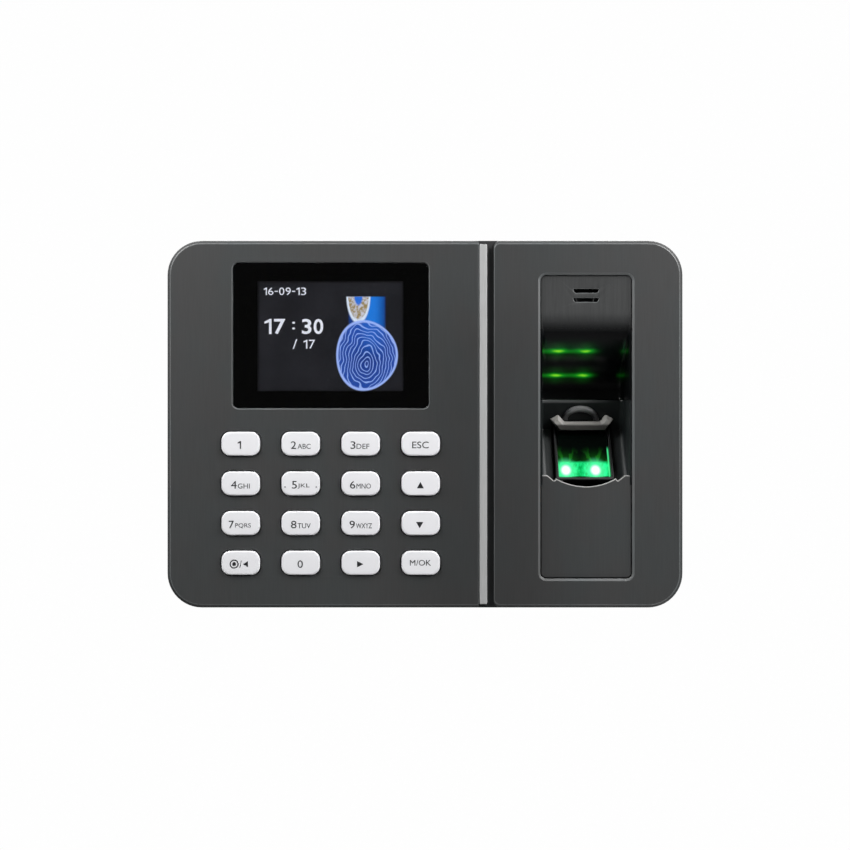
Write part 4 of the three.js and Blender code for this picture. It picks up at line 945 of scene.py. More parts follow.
class Skin:
    """A closed surface put together from loops of points."""

    def __init__(self) -> None:
        """Starts with nothing."""
        self.mesh = bmesh.new()

    def loop(self, points: Iterable[Place]) -> Loop:
        """A loop of vertices from points in millimetres."""
        return [self.mesh.verts.new((x * MM, y * MM, z * MM)) for x, y, z in points]

    def flat(self, outline: Iterable[Point], depth: float) -> Loop:
        """A loop of vertices from an outline at one depth."""
        return self.loop((x, depth, z) for x, z in outline)

    def wall(self, loops: Sequence[Loop], look: int = 0, closed: bool = True) -> None:
        """Joins loops of the same length with faces.

        Args:
            loops: the loops in order.
            look: the number of the material.
            closed: whether each loop's end meets its start.
        """
        for first, second in zip(loops, loops[1:]):
            count = len(first)
            for i in range(count if closed else count - 1):
                j = (i + 1) % count
                self.face([first[i], first[j], second[j], second[i]], look)

    def face(self, corners: Sequence[bmesh.types.BMVert], look: int = 0) -> None:
        """Adds one face unless its corners fall together.

        Args:
            corners: its corners in order.
            look: the number of the material.
        """
        kept = [v for i, v in enumerate(corners) if (v.co - corners[i - 1].co).length > MERGE]
        if len(kept) < 3:
            return
        made = self.mesh.faces.new(kept)
        made.material_index = look

    def cap(self, outer: Loop, holes: Sequence[Loop] = (), look: int = 0) -> None:
        """Fills a flat loop.

        Args:
            outer: the loop round the face.
            holes: loops that stay open.
            look: the number of the material.
        """
        loops = [outer, *holes]
        every = [v for loop in loops for v in loop]
        for corners in tessellate_polygon([[v.co for v in loop] for loop in loops]):
            self.face([every[i] for i in corners], look)

    def tube(
        self, rings: Sequence[Point], shape: Callable[[float], Sequence[Point]], edged: int = 0,
    ) -> list[Loop]:
        """Skins a wall whose outline changes with depth.

        Args:
            rings: (change, depth) pairs in order.
            shape: makes an outline from a change.
            edged: how many of its first bands have the second material.

        Returns:
            The loops.
        """
        loops = [self.flat(shape(change), depth) for change, depth in rings]
        self.wall(loops[:edged + 1], 1)
        self.wall(loops[edged:])
        return loops

    def rod(self, rings: Sequence[Point], shape: Callable[[float], Sequence[Point]]) -> list[Loop]:
        """Skins a closed solid whose outline changes with depth.

        Args:
            rings: (inset, depth) pairs from back to front.
            shape: makes an outline from an inset.

        Returns:
            The loops.
        """
        loops = self.tube(rings, shape)
        self.cap(loops[0])
        self.cap(loops[-1])
        return loops

    def piece(
        self, name: str, looks: Sequence[Look], body: str, sharp: float = 34.0,
    ) -> bpy.types.Object:
        """Makes the object and lets it ride.

        Args:
            name: the piece's name.
            looks: its materials.
            body: the body it rides on.
            sharp: edges that turn by more degrees than this stay sharp.

        Returns:
            The object.
        """
        bmesh.ops.remove_doubles(self.mesh, verts=self.mesh.verts, dist=MERGE)
        bmesh.ops.recalc_face_normals(self.mesh, faces=self.mesh.faces)
        for part in self.mesh.faces:
            part.smooth = True
        for edge in self.mesh.edges:
            edge.smooth = edge.calc_face_angle(math.pi) < math.radians(sharp)
        data = bpy.data.meshes.new(name)
        self.mesh.to_mesh(data)
        self.mesh.free()
        for look in looks:
            data.materials.append(look.material())
        made = bpy.data.objects.new(name, data)
        bpy.context.scene.collection.objects.link(made)
        level = made.modifiers.new("level", "WEIGHTED_NORMAL")
        level.keep_sharp = True
        level.weight = 100
        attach(made, body)
        log.info("%s: %d faces on %s", name, len(data.polygons), body)
        return made


def fillet(radius: float, depth: float, steps: int = 5) -> list[Point]:
    """A quarter round from a wall to a face.

    Args:
        radius: its radius.
        depth: the face's depth; the wall starts one radius behind it.
        steps: how many chords it has.

    Returns:
        (inset, depth) pairs from the wall to the face.
    """
    turns = [i / steps * math.pi / 2 for i in range(steps + 1)]
    return [(radius * (1 - math.cos(a)), depth + radius * (1 - math.sin(a))) for a in turns]


def drawn_in(points: Sequence[Point], by: float) -> list[Point]:
    """An anticlockwise outline moved inwards.

    Args:
        points: the outline.
        by: how far each side moves.

    Returns:
        As many points as before.
    """
    made = []
    for i, (x, z) in enumerate(points):
        (px, pz), (nx, nz) = points[i - 1], points[(i + 1) % len(points)]
        before, after = Vector((x - px, z - pz)).normalized(), Vector((nx - x, nz - z)).normalized()
        side = Vector((-before.y - after.y, before.x + after.x)).normalized()
        reach = by / max(side.dot(Vector((-before.y, before.x))), 0.4)
        made.append((x + side.x * reach, z + side.y * reach))
    return made


def nearer(value: float, by: float, limit: float) -> float:
    """A value moved towards 0 if it is further from 0 than a limit."""
    return value - math.copysign(by, value) if abs(value) > limit else value


def arc(middle: Point, radii: Point, start: float, end: float, steps: int) -> list[Point]:
    """Points along an ellipse.

    Args:
        middle: its middle.
        radii: its radii along x and z.
        start: the first angle in degrees.
        end: the last angle in degrees.
        steps: how many chords there are.

    Returns:
        The points.
    """
    turns = [math.radians(start + (end - start) * i / steps) for i in range(steps + 1)]
    return [(middle[0] + radii[0] * math.cos(a), middle[1] + radii[1] * math.sin(a)) for a in turns]


def lettering(
    text: str, rect: Rect, depth: float, thick: float, weight: float = 0.0,
) -> bpy.types.Mesh:
    """Letters as a thin solid that fills a rectangle.

    Args:
        text: the letters.
        rect: the rectangle they fill.
        depth: the depth of their back.
        thick: how far they stand forward.
        weight: how much bolder they are than the plain face.

    Returns:
        The mesh.
    """
    curve = bpy.data.curves.new("letters", "FONT")
    curve.body = text
    curve.extrude = 0.5
    curve.offset = weight
    curve.resolution_u = 4
    holder = bpy.data.objects.new("letters", curve)
    bpy.context.scene.collection.objects.link(holder)
    bpy.context.view_layer.update()
    evaluated = holder.evaluated_get(bpy.context.evaluated_depsgraph_get())
    shape = bpy.data.meshes.new_from_object(evaluated)
    bpy.data.objects.remove(holder)
    bpy.data.curves.remove(curve)
    xs = [v.co.x for v in shape.vertices]
    ys = [v.co.y for v in shape.vertices]
    wide = (rect.x1 - rect.x0) / (max(xs) - min(xs))
    tall = (rect.z1 - rect.z0) / (max(ys) - min(ys))
    for v in shape.vertices:
        x = rect.x0 + (v.co.x - min(xs)) * wide
        z = rect.z0 + (v.co.y - min(ys)) * tall
        y = depth - thick * (v.co.z + 0.5)
        v.co = (x * MM, y * MM, z * MM)
    return shape


def circle(middle: Point, radius: float) -> list[Point]:
    """A small circle's points."""
    sides = 28
    return arc(middle, (radius, radius), 0, 360 - 360 / sides, sides - 1)


def plate(
    skin: Skin, outlines: Sequence[Sequence[Point]], depths: Sequence[float], look: int,
) -> None:
    """Adds a thin plate from an outline and its holes.

    Args:
        skin: the skin that gets the plate.
        outlines: the outline, then its holes.
        depths: the depths of its back and its face.
        look: the number of the material.
    """
    loops = [[skin.flat(outline, d) for outline in outlines] for d in depths]
    for back, front in zip(*loops):
        skin.wall([back, front], look)
    for outer, *holes in loops:
        skin.cap(outer, holes, look)


def mark(
    skin: Skin, text: str, rect: Rect, depths: Point, look: int = 0, weight: float = 0.0,
) -> None:
    """Adds one printed mark.

    Args:
        skin: the skin that gets the mark.
        text: letters, or the name of a sign.
        rect: the rectangle the mark fills.
        depths: the depths of its back and its face.
        look: the number of the material.
        weight: how much bolder than the plain face its letters are.
    """
    back, front = depths
    x, z = rect.middle
    r = (rect.x1 - rect.x0) / 2
    if text in SIGNS:
        wide, tall = rect.x1 - rect.x0, rect.z1 - rect.z0
        outline = [(rect.x0 + u * wide, rect.z0 + v * tall) for u, v in SIGNS[text]]
        plate(skin, [outline], depths, look)
    elif text == "ring":
        plate(skin, [circle((x, z), r), circle((x, z), r - RING_BAND)], depths, look)
        plate(skin, [circle((x, z), RING_DOT)], depths, look)
    elif text == "dot":
        rings = [skin.flat(circle((x, z), share * r), back - high) for share, high in PIP_DOME]
        skin.wall(rings, look)
        skin.cap(rings[0], look=look)
        skin.cap(rings[-1], look=look)
    else:
        shape = lettering(text, rect, back, back - front, weight)
        before = len(skin.mesh.faces)
        skin.mesh.from_mesh(shape)
        skin.mesh.faces.ensure_lookup_table()
        for part in skin.mesh.faces[before:]:
            part.material_index = look
        bpy.data.meshes.remove(shape)


def numerals(skin: Skin, text: str, rect: Rect, depths: Point, weight: float = 0.0) -> None:
    """Adds a line of numerals, one by one.

    Args:
        skin: the skin that gets them.
        text: the numerals and dashes.
        rect: the rectangle they fill.
        depths: the depths of their backs and faces.
        weight: how much bolder than the plain face they are.
    """
    shares = [NARROW.get(c, 1.0) for c in text]
    unit = (rect.x1 - rect.x0) / (sum(shares) + NUMERAL_GAP * (len(text) - 1))
    x, z = rect.x0, rect.middle[1]
    for c, share in zip(text, shares):
        low, high = (z - DASH_HALF, z + DASH_HALF) if c == "-" else (rect.z0, rect.z1)
        mark(skin, c, Rect(x, x + share * unit, low, high), depths, weight=weight)
        x += (share + NUMERAL_GAP) * unit


# ---------------------------------------------------------------- sub-assemblies

WELL_MOUTH = Rect(42.5, 76.3, -56.9, 54.9)
CHORDS = 12  # chords in each of the housing's corners


@dataclass
class Housing:
    """The front shell and the trim strip."""

    corner: float = 12.7
    wall: float = 2.0
    face: float = 2.5
    groove: Point = (19.8, 25.4)
    panel_corner: float = 2.0
    crisp: float = 0.3
    # (inset outside, inset at the groove, depth behind the face) from the groove's floor forward
    rounding: Sequence[Place] = (
        (0.0, 0.0, 1.4), (0.03, 0.0, 1.2), (0.12, 0.0, 1.05), (0.98, 0.0, 0.2),
        (1.1, 0.03, 0.1), (1.24, 0.12, 0.035), (1.4, 0.3, 0.0),
    )
    plain_bands: int = 3  # bands of the rounding that have the body's finish
    # (how far the outside is drawn in, distance from its back edge)
    back_edge: Sequence[Point] = ((0.0, 0.5), (0.15, 0.12), (0.35, 0.0))
    key_rim: float = 0.9
    key_gap: float = 0.4
    key_corner: float = 3.2
    # (how far a key's hole is widened, depth behind the face)
    key_edge: Sequence[Point] = ((0.3, 0.0), (0.09, 0.08), (0.0, 0.3))
    glass_gap: float = 0.3
    glass_corner: float = 1.8
    glass_deep: float = 1.6
    glass_edge: float = 0.35
    opening: Rect = Rect(-63.1, -6.7, 10.9, 54.1)
    opening_corner: float = 0.6
    mouth: Rect = WELL_MOUTH
    mouth_corner: float = 2.1
    # (how far the well's mouth is widened, depth behind the face)
    mouth_edge: Sequence[Point] = ((0.85, 0.0), (0.77, 0.02), (0.1, 0.4), (0.0, 0.55))
    keys: Sequence[str] = ()

    def front_shell(self) -> None:
        """The front shell: two panels with a groove between them, and every opening."""
        box = Box.of("front_shell")
        face = box.low.y
        inside = face + self.face
        skin = Skin()
        left, right, rim = self.panels(skin, box)
        lining = self.outside(skin, box, rim)
        keys = [self.key_hole(skin, name, face) for name in self.keys]
        pocket, view = self.window(skin, face)
        # the mouth's rounded edge gets the edge finish's painted highlight
        mouth_rings = [*((by, face + deep) for by, deep in self.mouth_edge), (0.0, inside)]
        mouth = skin.tube(
            mouth_rings, lambda by: self.mouth.grown(by).outline(self.mouth_corner + by),
            len(self.mouth_edge) - 1,
        )
        skin.cap(left, [*(hole[0] for hole in keys), pocket])
        skin.cap(right, [mouth[0]])
        skin.cap(lining, [*(hole[-1] for hole in keys), view, mouth[-1]])
        looks = [Look.BODY, Look.EDGE, Look.GROOVE]
        made = skin.piece("housing_front", looks, "terminal", 24.0)
        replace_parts(made, "front_shell")

    def panels(self, skin: Skin, box: Box) -> tuple[Loop, Loop, Loop]:
        """The two panels' rounded edges, and the groove's floor between them.

        Args:
            skin: the skin that gets them.
            box: the shell's box.

        Returns:
            The loops round the left and right panels' faces, and round both at the floor.
        """
        left, right = [], []
        for inset, side, deep in self.rounding:
            rect = box.rect.grown(-inset)
            turn, crisp, soft = self.corner - inset, self.crisp, self.panel_corner
            near = Rect(rect.x0, self.groove[0] - side, rect.z0, rect.z1)
            far = Rect(self.groove[1] + side, rect.x1, rect.z0, rect.z1)
            for panel, loops, radii in (
                (near, left, (turn, crisp, crisp, turn)), (far, right, (soft, turn, turn, soft)),
            ):
                corners = panel.corners(radii, CHORDS)
                loops.append([skin.flat(corner, box.low.y + deep) for corner in corners])
        joined = [[[v for c in ring for v in c] for ring in panel] for panel in (left, right)]
        for loops in joined:
            skin.wall(loops[:self.plain_bands + 1])
            # the rounding's remaining bands get the edge finish's painted highlight
            skin.wall(loops[self.plain_bands:], 1)
        (l_bl, l_br, l_tr, l_tl), (r_bl, r_br, r_tr, r_tl) = left[0], right[0]
        # the groove's floor, with its painted shade
        skin.cap([*l_br, *l_tr, *r_tl, *r_bl], look=2)
        rim = [*l_bl, l_br[0], r_bl[-1], *r_br, *r_tr, r_tl[0], l_tr[-1], *l_tl]
        return joined[0][-1], joined[1][-1], rim

    def outside(self, skin: Skin, box: Box, rim: Loop) -> Loop:
        """The outer walls from the groove's floor to the back edge, and the lining behind them.

        Args:
            skin: the skin that gets them.
            box: the shell's box.
            rim: the loop round the shell at the groove's floor.

        Returns:
            The loop round the inside of the face.
        """
        whole, back = box.rect, box.high.y
        flat_x, flat_z = whole.x1 - self.corner, whole.z1 - self.corner
        places = [(v.co.x / MM, v.co.z / MM) for v in rim]
        outer = [rim]
        for by, near in self.back_edge:
            drawn = [(nearer(x, by, flat_x), nearer(z, by, flat_z)) for x, z in places]
            outer.append(skin.flat(drawn, back - near))
        skin.wall(outer)
        inner = whole.grown(-self.wall).outline(self.corner - self.wall, CHORDS)
        lining = [skin.flat(inner, d) for d in (back, box.low.y + self.face)]
        skin.wall(lining)
        skin.cap(outer[-1], [lining[0]])
        return lining[1]

    def key_hole(self, skin: Skin, name: str, face: float) -> list[Loop]:
        """A key's hole.

        Args:
            skin: the skin that gets it.
            name: the key's name.
            face: the depth of the face.

        Returns:
            Its loops from front to back.
        """
        key = Box.of(name).rect.grown(-self.key_rim)
        rings = [(self.key_gap + wide, face + deep) for wide, deep in self.key_edge]
        rings.append((self.key_gap, face + self.face))
        return skin.tube(rings, lambda by: key.grown(by).outline(self.key_corner + by))

    def window(self, skin: Skin, face: float) -> tuple[Loop, Loop]:
        """The pocket that the display's window sits in, and the opening in its floor.

        Args:
            skin: the skin that gets them.
            face: the depth of the face.

        Returns:
            The loops round the pocket at the face and round the opening at the back.
        """
        glass = Box.of("display_window").rect.grown(self.glass_gap)
        corner, seat = self.glass_corner + self.glass_gap, face + self.glass_deep
        # the pocket's slanted rim gets the edge finish's painted highlight
        rings = [(self.glass_edge, face), (0.0, face + self.glass_edge), (0.0, seat)]
        pocket = skin.tube(rings, lambda by: glass.grown(by).outline(corner + by), 1)
        opening = self.opening.outline(self.opening_corner, 3)
        view = [skin.flat(opening, d) for d in (seat, face + self.face)]
        skin.cap(pocket[-1], [view[0]])
        skin.wall(view)
        return pocket[0], view[-1]

    def strip(self) -> None:
        """The brushed strip in the groove."""
        box = Box.of("trim_strip")
        skin = Skin()
        rings = [(0.0, box.high.y), *fillet(0.28, box.low.y, 4)]
        skin.rod(rings, lambda inset: box.rect.grown(-inset).outline(0.35 - min(inset, 0.2), 3))
        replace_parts(skin.piece("trim", [Look.STRIP], "terminal"), "trim_strip")

    def build(self) -> None:
        """Builds the shell and the strip."""
        self.front_shell()
        self.strip()


@dataclass
class Display:
    """The window, its printed border, and what the screen shows."""

    corner: float = 1.8
    edge: float = 0.2
    glass_back: float = -34.95
    back_edge: float = 0.15
    print_front: float = -34.85
    print_back: float = -34.72
    lit: Rect = Rect(-61.9, -7.9, 12.1, 52.9)
    sheet: float = -33.6
    sheet_thick: float = 0.3
    sheet_margin: float = 0.8
    letters: float = 0.06
    texts: Sequence[tuple[str, str, Rect, float]] = (
        ("screen_date", "16-09-13", Rect(-59.6, -43.9, 47.7, 50.5), 0.0),
        ("screen_hours", "17", Rect(-59.3, -51.6, 33.3, 38.9), 0.018),
        ("screen_colon", ":", Rect(-49.1, -48.0, 35.0, 37.9), 0.005),
        ("screen_minutes", "30", Rect(-45.5, -37.6, 33.3, 38.9), 0.018),
        ("screen_slash", "/", Rect(-48.9, -47.2, 27.8, 31.4), 0.0),
        ("screen_day", "17", Rect(-44.9, -40.6, 27.9, 31.2), 0.0),
    )

    def build(self) -> None:
        """Builds the glass, the border and the picture."""
        box = Box.of("display_window")
        skin = Skin()
        rings = [
            (self.back_edge, self.glass_back), (0.0, self.glass_back - self.back_edge),
            *fillet(self.edge, box.low.y, 4),
        ]
        skin.rod(rings, lambda inset: box.rect.grown(-inset).outline(self.corner - inset))
        glass = skin.piece("window_glass", [Look.GLASS], "terminal")
        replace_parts(glass, "display_window")

        skin = Skin()
        depths = (self.print_back, self.print_front)
        outer = [skin.flat(box.rect.outline(self.corner), d) for d in depths]
        inner = [skin.flat(self.lit.outline(0.5), d) for d in depths]
        skin.wall(outer)
        skin.wall(inner)
        skin.cap(outer[0], [inner[0]])
        skin.cap(outer[1], [inner[1]])
        skin.piece("window_border", [Look.PRINT], "terminal")

        skin = Skin()
        margin = self.sheet_margin
        rings = [(margin, self.sheet + self.sheet_thick), (margin, self.sheet)]
        skin.rod(rings, lambda by: self.lit.grown(by).outline(0.3, 2))
        skin.piece("screen_picture", [Look.PICTURE], "terminal")

        depths = (self.sheet, self.sheet - self.letters)
        for name, text, rect, weight in self.texts:
            skin = Skin()
            numerals(skin, text, rect, depths, weight)
            skin.piece(name, [Look.DIGITS], "terminal")


@dataclass
class Key:
    """One key: its cap and its printed legend, in millimetres about its middle."""

    name: str
    legend: Sequence[tuple[str, float, float, float, float, bool]]

    width: float = 14.1
    height: float = 8.75
    corner: float = 3.2
    rim: float = 0.9
    rim_thick: float = 0.8
    rim_edge: float = 0.15
    side_top: float = 0.55
    fillet_r: float = 0.5
    crown: float = 0.03
    # (inset, depth behind the top) of the slight dome inside the rounded edge
    dome: Sequence[Point] = ((1.4, 0.008), (2.4, 0.0))
    ink: float = 0.03

    def build(self) -> None:
        """Builds the cap and the legend."""
        box = Box.of(self.name)
        x, z = box.rect.middle
        top, back = box.low.y, box.high.y
        cap = Rect.about(x, z, self.width, self.height)
        skin = Skin()
        shoulder, edge = back - self.rim_thick, self.rim_edge
        rings = [
            (-self.rim, back), (-self.rim, shoulder + edge), (edge - self.rim, shoulder),
            (0.0, shoulder), (0.0, top + self.side_top),
            *fillet(self.fillet_r, top + self.crown, 6)[1:],
            *((inset, top + deep) for inset, deep in self.dome),
        ]
        skin.rod(rings, lambda inset: cap.grown(-inset).outline(max(0.4, self.corner - inset), 8))
        made = skin.piece(f"cap_{self.name}", [Look.KEY], self.name, 40.0)
        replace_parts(made, self.name)
        ink = Skin()
        for text, x0, x1, z0, z1, pale in self.legend:
            rect = Rect(x + x0, x + x1, z + z0, z + z1)
            look = 2 if text == "dot" else int(pale)
            mark(ink, text, rect, (top - 0.001, top - self.ink), look)
        looks = [Look.INK, Look.PALE_INK, Look.PIP]
        ink.piece(f"legend_{self.name}", looks, self.name)


def lettered(name: str, digit: str, left: Point, letters: str, right: Point) -> Key:
    """A key with a digit and its small letters.

    Args:
        name: the key's name.
        digit: the digit.
        left: the digit's left and right ends.
        letters: the small letters.
        right: the letters' left and right ends.

    Returns:
        The key.
    """
    return Key(name, [(digit, *left, -1.87, 0.92, False), (letters, *right, -1.85, -0.02, True)])


@dataclass
class Keypad:
    """Sixteen keys."""

    keys: Sequence[Key] = field(default_factory=lambda: [
        Key("key_1", [("1", -1.05, 0.2, -1.87, 1.0, False)]),
        lettered("key_2", "2", (-3.55, -1.6), "ABC", (-1.1, 3.7)),
        lettered("key_3", "3", (-3.7, -1.9), "DEF", (-1.5, 3.2)),
        Key("key_esc", [("ESC", -3.1, 2.95, -1.65, 0.8, False)]),
        lettered("key_4", "4", (-3.5, -1.4), "GHI", (-1.0, 3.4)),
        Key("key_5", [
            ("5", -3.2, -1.35, -1.87, 0.92, False), ("JKL", -1.1, 3.3, -1.85, -0.02, True),
            ("dot", -6.0, -5.4, -1.55, -0.95, True), ("dot", 5.5, 6.1, -1.55, -0.95, True),
        ]),
        lettered("key_6", "6", (-3.9, -1.95), "MNO", (-1.5, 3.8)),
        Key("key_up", [("up", -1.35, 1.15, -1.75, 0.6, False)]),
        lettered("key_7", "7", (-4.3, -2.45), "PQRS", (-1.95, 3.8)),
        lettered("key_8", "8", (-3.5, -1.5), "TUV", (-1.1, 3.7)),
        lettered("key_9", "9", (-4.1, -2.1), "WXYZ", (-1.7, 4.15)),
        Key("key_down", [("down", -1.7, 0.95, -1.85, 0.45, False)]),
        Key("key_power_left", [
            ("ring", -4.0, -0.7, -2.05, 1.25, False), ("/", -0.35, 0.45, -1.7, 0.9, True),
            ("left", 0.9, 2.7, -1.5, 0.65, False),
        ]),
        Key("key_0", [("0", -1.1, 0.85, -1.8, 0.95, False)]),
        Key("key_right", [("right", -1.3, 1.0, -1.6, 0.7, False)]),
        Key("key_menu_ok", [("M/OK", -3.95, 3.8, -1.0, 1.1, False)]),
    ])

    def build(self) -> None:
        """Builds every key."""
        for key in self.keys:
            key.build()


@dataclass
class FingerWell:
    """The lining, the lower cover and the hood."""

    mouth: Rect = WELL_MOUTH
    gap: float = 0.3
    rim: float = 0.5
    face: float = -35.2
    panel_foot: float = 42.6
    shelf: float = -20.6
    pitch: float = 0.5
    # (height, degrees from upright) of the scoop from top to bottom
    leans: Sequence[Point] = (
        (41.4, 0.0), (38.5, 5.0), (30.5, 44.0), (23.5, 52.0), (19.5, 44.0), (10.2, 0.0),
    )
    scoop_top: float = 41.4
    ledge: float = 9.2
    # (depth from the shelf, height from the ledge) of the rounded nose between them
    nose: Sequence[Point] = ((0.4, 0.0), (0.12, -0.12), (0.0, -0.4))
    throat: float = 3.9
    # depth and height of a point of the lining beside the glass, and its slope there
    glass: Place = (-24.094, -11.742, 0.7427)
    glass_top: float = -1.8
    end: float = -22.4
    fillet_r: float = 2.2
    chords: int = 6
    thick: float = 1.2
    port: Rect = Rect(48.0, 70.8, -40.0, -0.4)
    slots: Sequence[float] = (49.15, 45.78)
    slot_w: float = 9.1
    slot_h: float = 1.45
    slot_lean: float = 0.08
    slot_corner: float = 0.45
    slot_edge: float = 0.2
    corner: float = 2.1
    cover_top: float = -18.85
    cover_tooth: float = 1.15
    cover_dip: float = 4.15
    cover_dip_half: float = 11.0
    # (how far the cover is drawn in, depth behind the face)
    cover_rings: Sequence[Point] = ((0.0, 2.2), (0.0, 0.22), (0.1, 0.06), (0.32, 0.0))
    bracket_back: Sequence[Point] = ((8.8, -2.5), (12.0, 2.0), (9.0, 3.55), (6.7, 1.05))
    bracket_front: Sequence[Point] = ((8.5, -2.2), (10.9, 1.0), (9.3, 1.7), (7.2, -0.35))
    bracket_depths: Place = (-18.5, -20.6, -22.5)
    bracket_edge: float = 0.22
    arch_shift: float = -0.4
    arch_inner: Place = (1.5, 5.0, 3.1)  # height of the middle, then the radii
    arch_outer: Place = (1.2, 7.0, 6.0)
    arch_back: float = -16.8
    arch_front: float = -19.4
    arch_swell: float = 1.4

    def profile(self) -> list[Point]:
        """The lining's middle line seen from the side: (depth, height) from top to bottom.

        Returns:
            The points.
        """
        points = [(self.face, z) for z in (self.mouth.z1 - self.gap, self.panel_foot)]
        y, z = self.face, self.scoop_top
        while z > self.ledge + 1.0:
            points.append((y, z))
            z -= self.pitch
            y += self.pitch * math.tan(math.radians(self.lean(z + self.pitch / 2)))
        points += [(y, self.ledge + 0.5), (y - 0.4, self.ledge + 0.1)]
        points += [(self.shelf + back, self.ledge + up) for back, up in self.nose]
        top, foot = self.ledge - 0.6, self.glass_top
        for t in (i / 5 for i in range(6)):
            points.append((self.shelf + 0.05 + t * self.throat, top + t * (foot - top)))
        depth, height, slope = self.glass
        for t in (i / 10 for i in range(1, 11)):
            z = foot + t * (self.end - foot)
            points.append((depth + (z - height) * slope, z))
        return points

    def lean(self, z: float) -> float:
        """How far the scoop leans from upright at a height, in degrees.

        Args:
            z: the height.

        Returns:
            The angle.
        """
        for (z0, a0), (z1, a1) in zip(self.leans, self.leans[1:]):
            if z0 >= z >= z1:
                t = (z0 - z) / (z0 - z1)
                return a0 + (a1 - a0) * t * t * (3 - 2 * t)
        return 0.0

    def across(self, y: float) -> list[Point]:
        """The lining at one height: (place across, depth) from left to right.

        Args:
            y: the depth of its middle.

        Returns:
            The points.
        """
        left, right = self.mouth.x0 + self.gap, self.mouth.x1 - self.gap
        near, far = left + self.rim, right - self.rim
        r = min(self.fillet_r, max(y - self.face, 0.0))
        turns = [i / self.chords * math.pi / 2 for i in range(self.chords + 1)]
        bend = [(r * (1 - math.cos(a)), y - r * (1 - math.sin(a))) for a in turns]
        return [
            (left, self.face), (near, self.face), *((near + x, depth) for x, depth in bend),
            (self.port.x0, y), (self.port.x1, y),
            *((far - x, depth) for x, depth in reversed(bend)),
            (far, self.face), (right, self.face),
        ]

    def lining(self) -> None:
        """The scoop with its side walls, made as a grid and thickened outwards."""
        skin = Skin()
        rows = [skin.loop((x, depth, z) for x, depth in self.across(y)) for y, z in self.profile()]
        middle = self.chords + 3  # the column that the port is in
        for upper, lower in zip(rows, rows[1:]):
            height = (upper[0].co.z + lower[0].co.z) / 2 / MM
            open_here = height < self.port.z1 or upper is rows[0]
            for i in range(len(upper) - 1):
                if not (i == middle and open_here):
                    skin.face([upper[i], upper[i + 1], lower[i + 1], lower[i]])
        mouths = []
        for z in self.slots:
            rings = ((self.slot_edge, self.face), (0.0, self.face + self.slot_edge))
            loops = [skin.flat(self.slot(z, by), d) for by, d in rings]
            # the slots' edges get the edge finish's painted highlight
            skin.wall(loops, 1)
            mouths.append(loops[0])
        panel = [*rows[0][middle:middle + 2], *reversed(rows[1][middle:middle + 2])]
        skin.cap(panel, mouths)
        made = skin.piece("well_lining", [Look.LINER, Look.EDGE], "terminal", 50.0)
        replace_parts(made, "well_liner")
        self.thicken(made)

    def slot(self, z: float, by: float) -> list[Point]:
        """A speaker slot's outline: its ends lean, and its top is wider than its foot.

        Args:
            z: the height of its middle.
            by: how far it is grown.

        Returns:
            The outline.
        """
        x = self.mouth.middle[0]
        rect = Rect.about(x, z, self.slot_w, self.slot_h).grown(by)
        outline = rect.outline(self.slot_corner + by, 4)
        return [(x + (px - x) * (1.0 + self.slot_lean * (pz - z)), pz) for px, pz in outline]

    def cover_outline(self) -> list[Point]:
        """The lower cover: its top edge has a notch each side and a round dip for the finger.

        Returns:
            The outline, anticlockwise from the left end of its foot.
        """
        rect = self.mouth.grown(-self.gap)
        x, top = self.mouth.middle[0], self.cover_top
        r = self.corner - self.gap
        tooth, dip = top - self.cover_tooth, top - self.cover_dip
        half, sag = self.cover_dip_half, tooth - dip
        radius = (half * half + sag * sag) / (2 * sag)
        spread = math.degrees(math.asin(half / radius))
        side = [
            (14.6, top), (14.1, top - 0.15),
            (12.0, tooth - 0.75), (11.75, tooth - 0.85), (11.5, tooth - 0.75),
        ]
        return [
            *arc((rect.x0 + r, rect.z0 + r), (r, r), 180, 270, 6),
            *arc((rect.x1 - r, rect.z0 + r), (r, r), 270, 360, 6),
            (rect.x1, top), *((x + px, pz) for px, pz in side),
            *arc((x, dip + radius), (radius, radius), 270 + spread, 270 - spread, 28),
            *((x - px, pz) for px, pz in reversed(side)), (rect.x0, top),
        ]

    def cover(self) -> None:
        """The lower cover with a painted highlight on its top edge."""
        skin = Skin()
        outline = self.cover_outline()
        rings = [(by, self.face + deep) for by, deep in self.cover_rings]
        skin.rod(rings, lambda by: drawn_in(outline, by))
        # the shallow faces along the top edge get the painted highlight
        lit, shallow = (self.cover_top - 5.0) * MM, 0.3 * MM
        for part in skin.mesh.faces:
            depths = [v.co.y for v in part.verts]
            if 0.0 < max(depths) - min(depths) < shallow and min(v.co.z for v in part.verts) > lit:
                part.material_index = 1
        made = skin.piece("well_cover", [Look.BODY, Look.BRIGHT], "terminal", 30.0)
        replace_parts(made, "lower_cover")

    def mirrored(self, half: Sequence[Point]) -> list[Point]:
        """A symmetric outline about the well's middle, from its right half.

        Args:
            half: the right half from its foot, about the middle.

        Returns:
            The whole outline.
        """
        x = self.mouth.middle[0]
        (px, pz), *rest = half
        right = [(x + px, pz) for px, pz in half]
        return [(x - px, pz), *right, *((x - px, pz) for px, pz in reversed(rest))]

    def bracket(self) -> None:
        """The hood's bracket, whose top leans."""
        skin = Skin()
        halves = (self.bracket_back, self.bracket_back, self.bracket_front)
        loops = [skin.flat(self.mirrored(half), d) for half, d in zip(halves, self.bracket_depths)]
        skin.wall(loops)
        skin.cap(loops[0])
        skin.cap(loops[-1])
        made = skin.piece("hood_bracket", [Look.HOOD], "terminal", 20.0)
        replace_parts(made, "sensor_hood")
        soften(made, self.bracket_edge, 3)

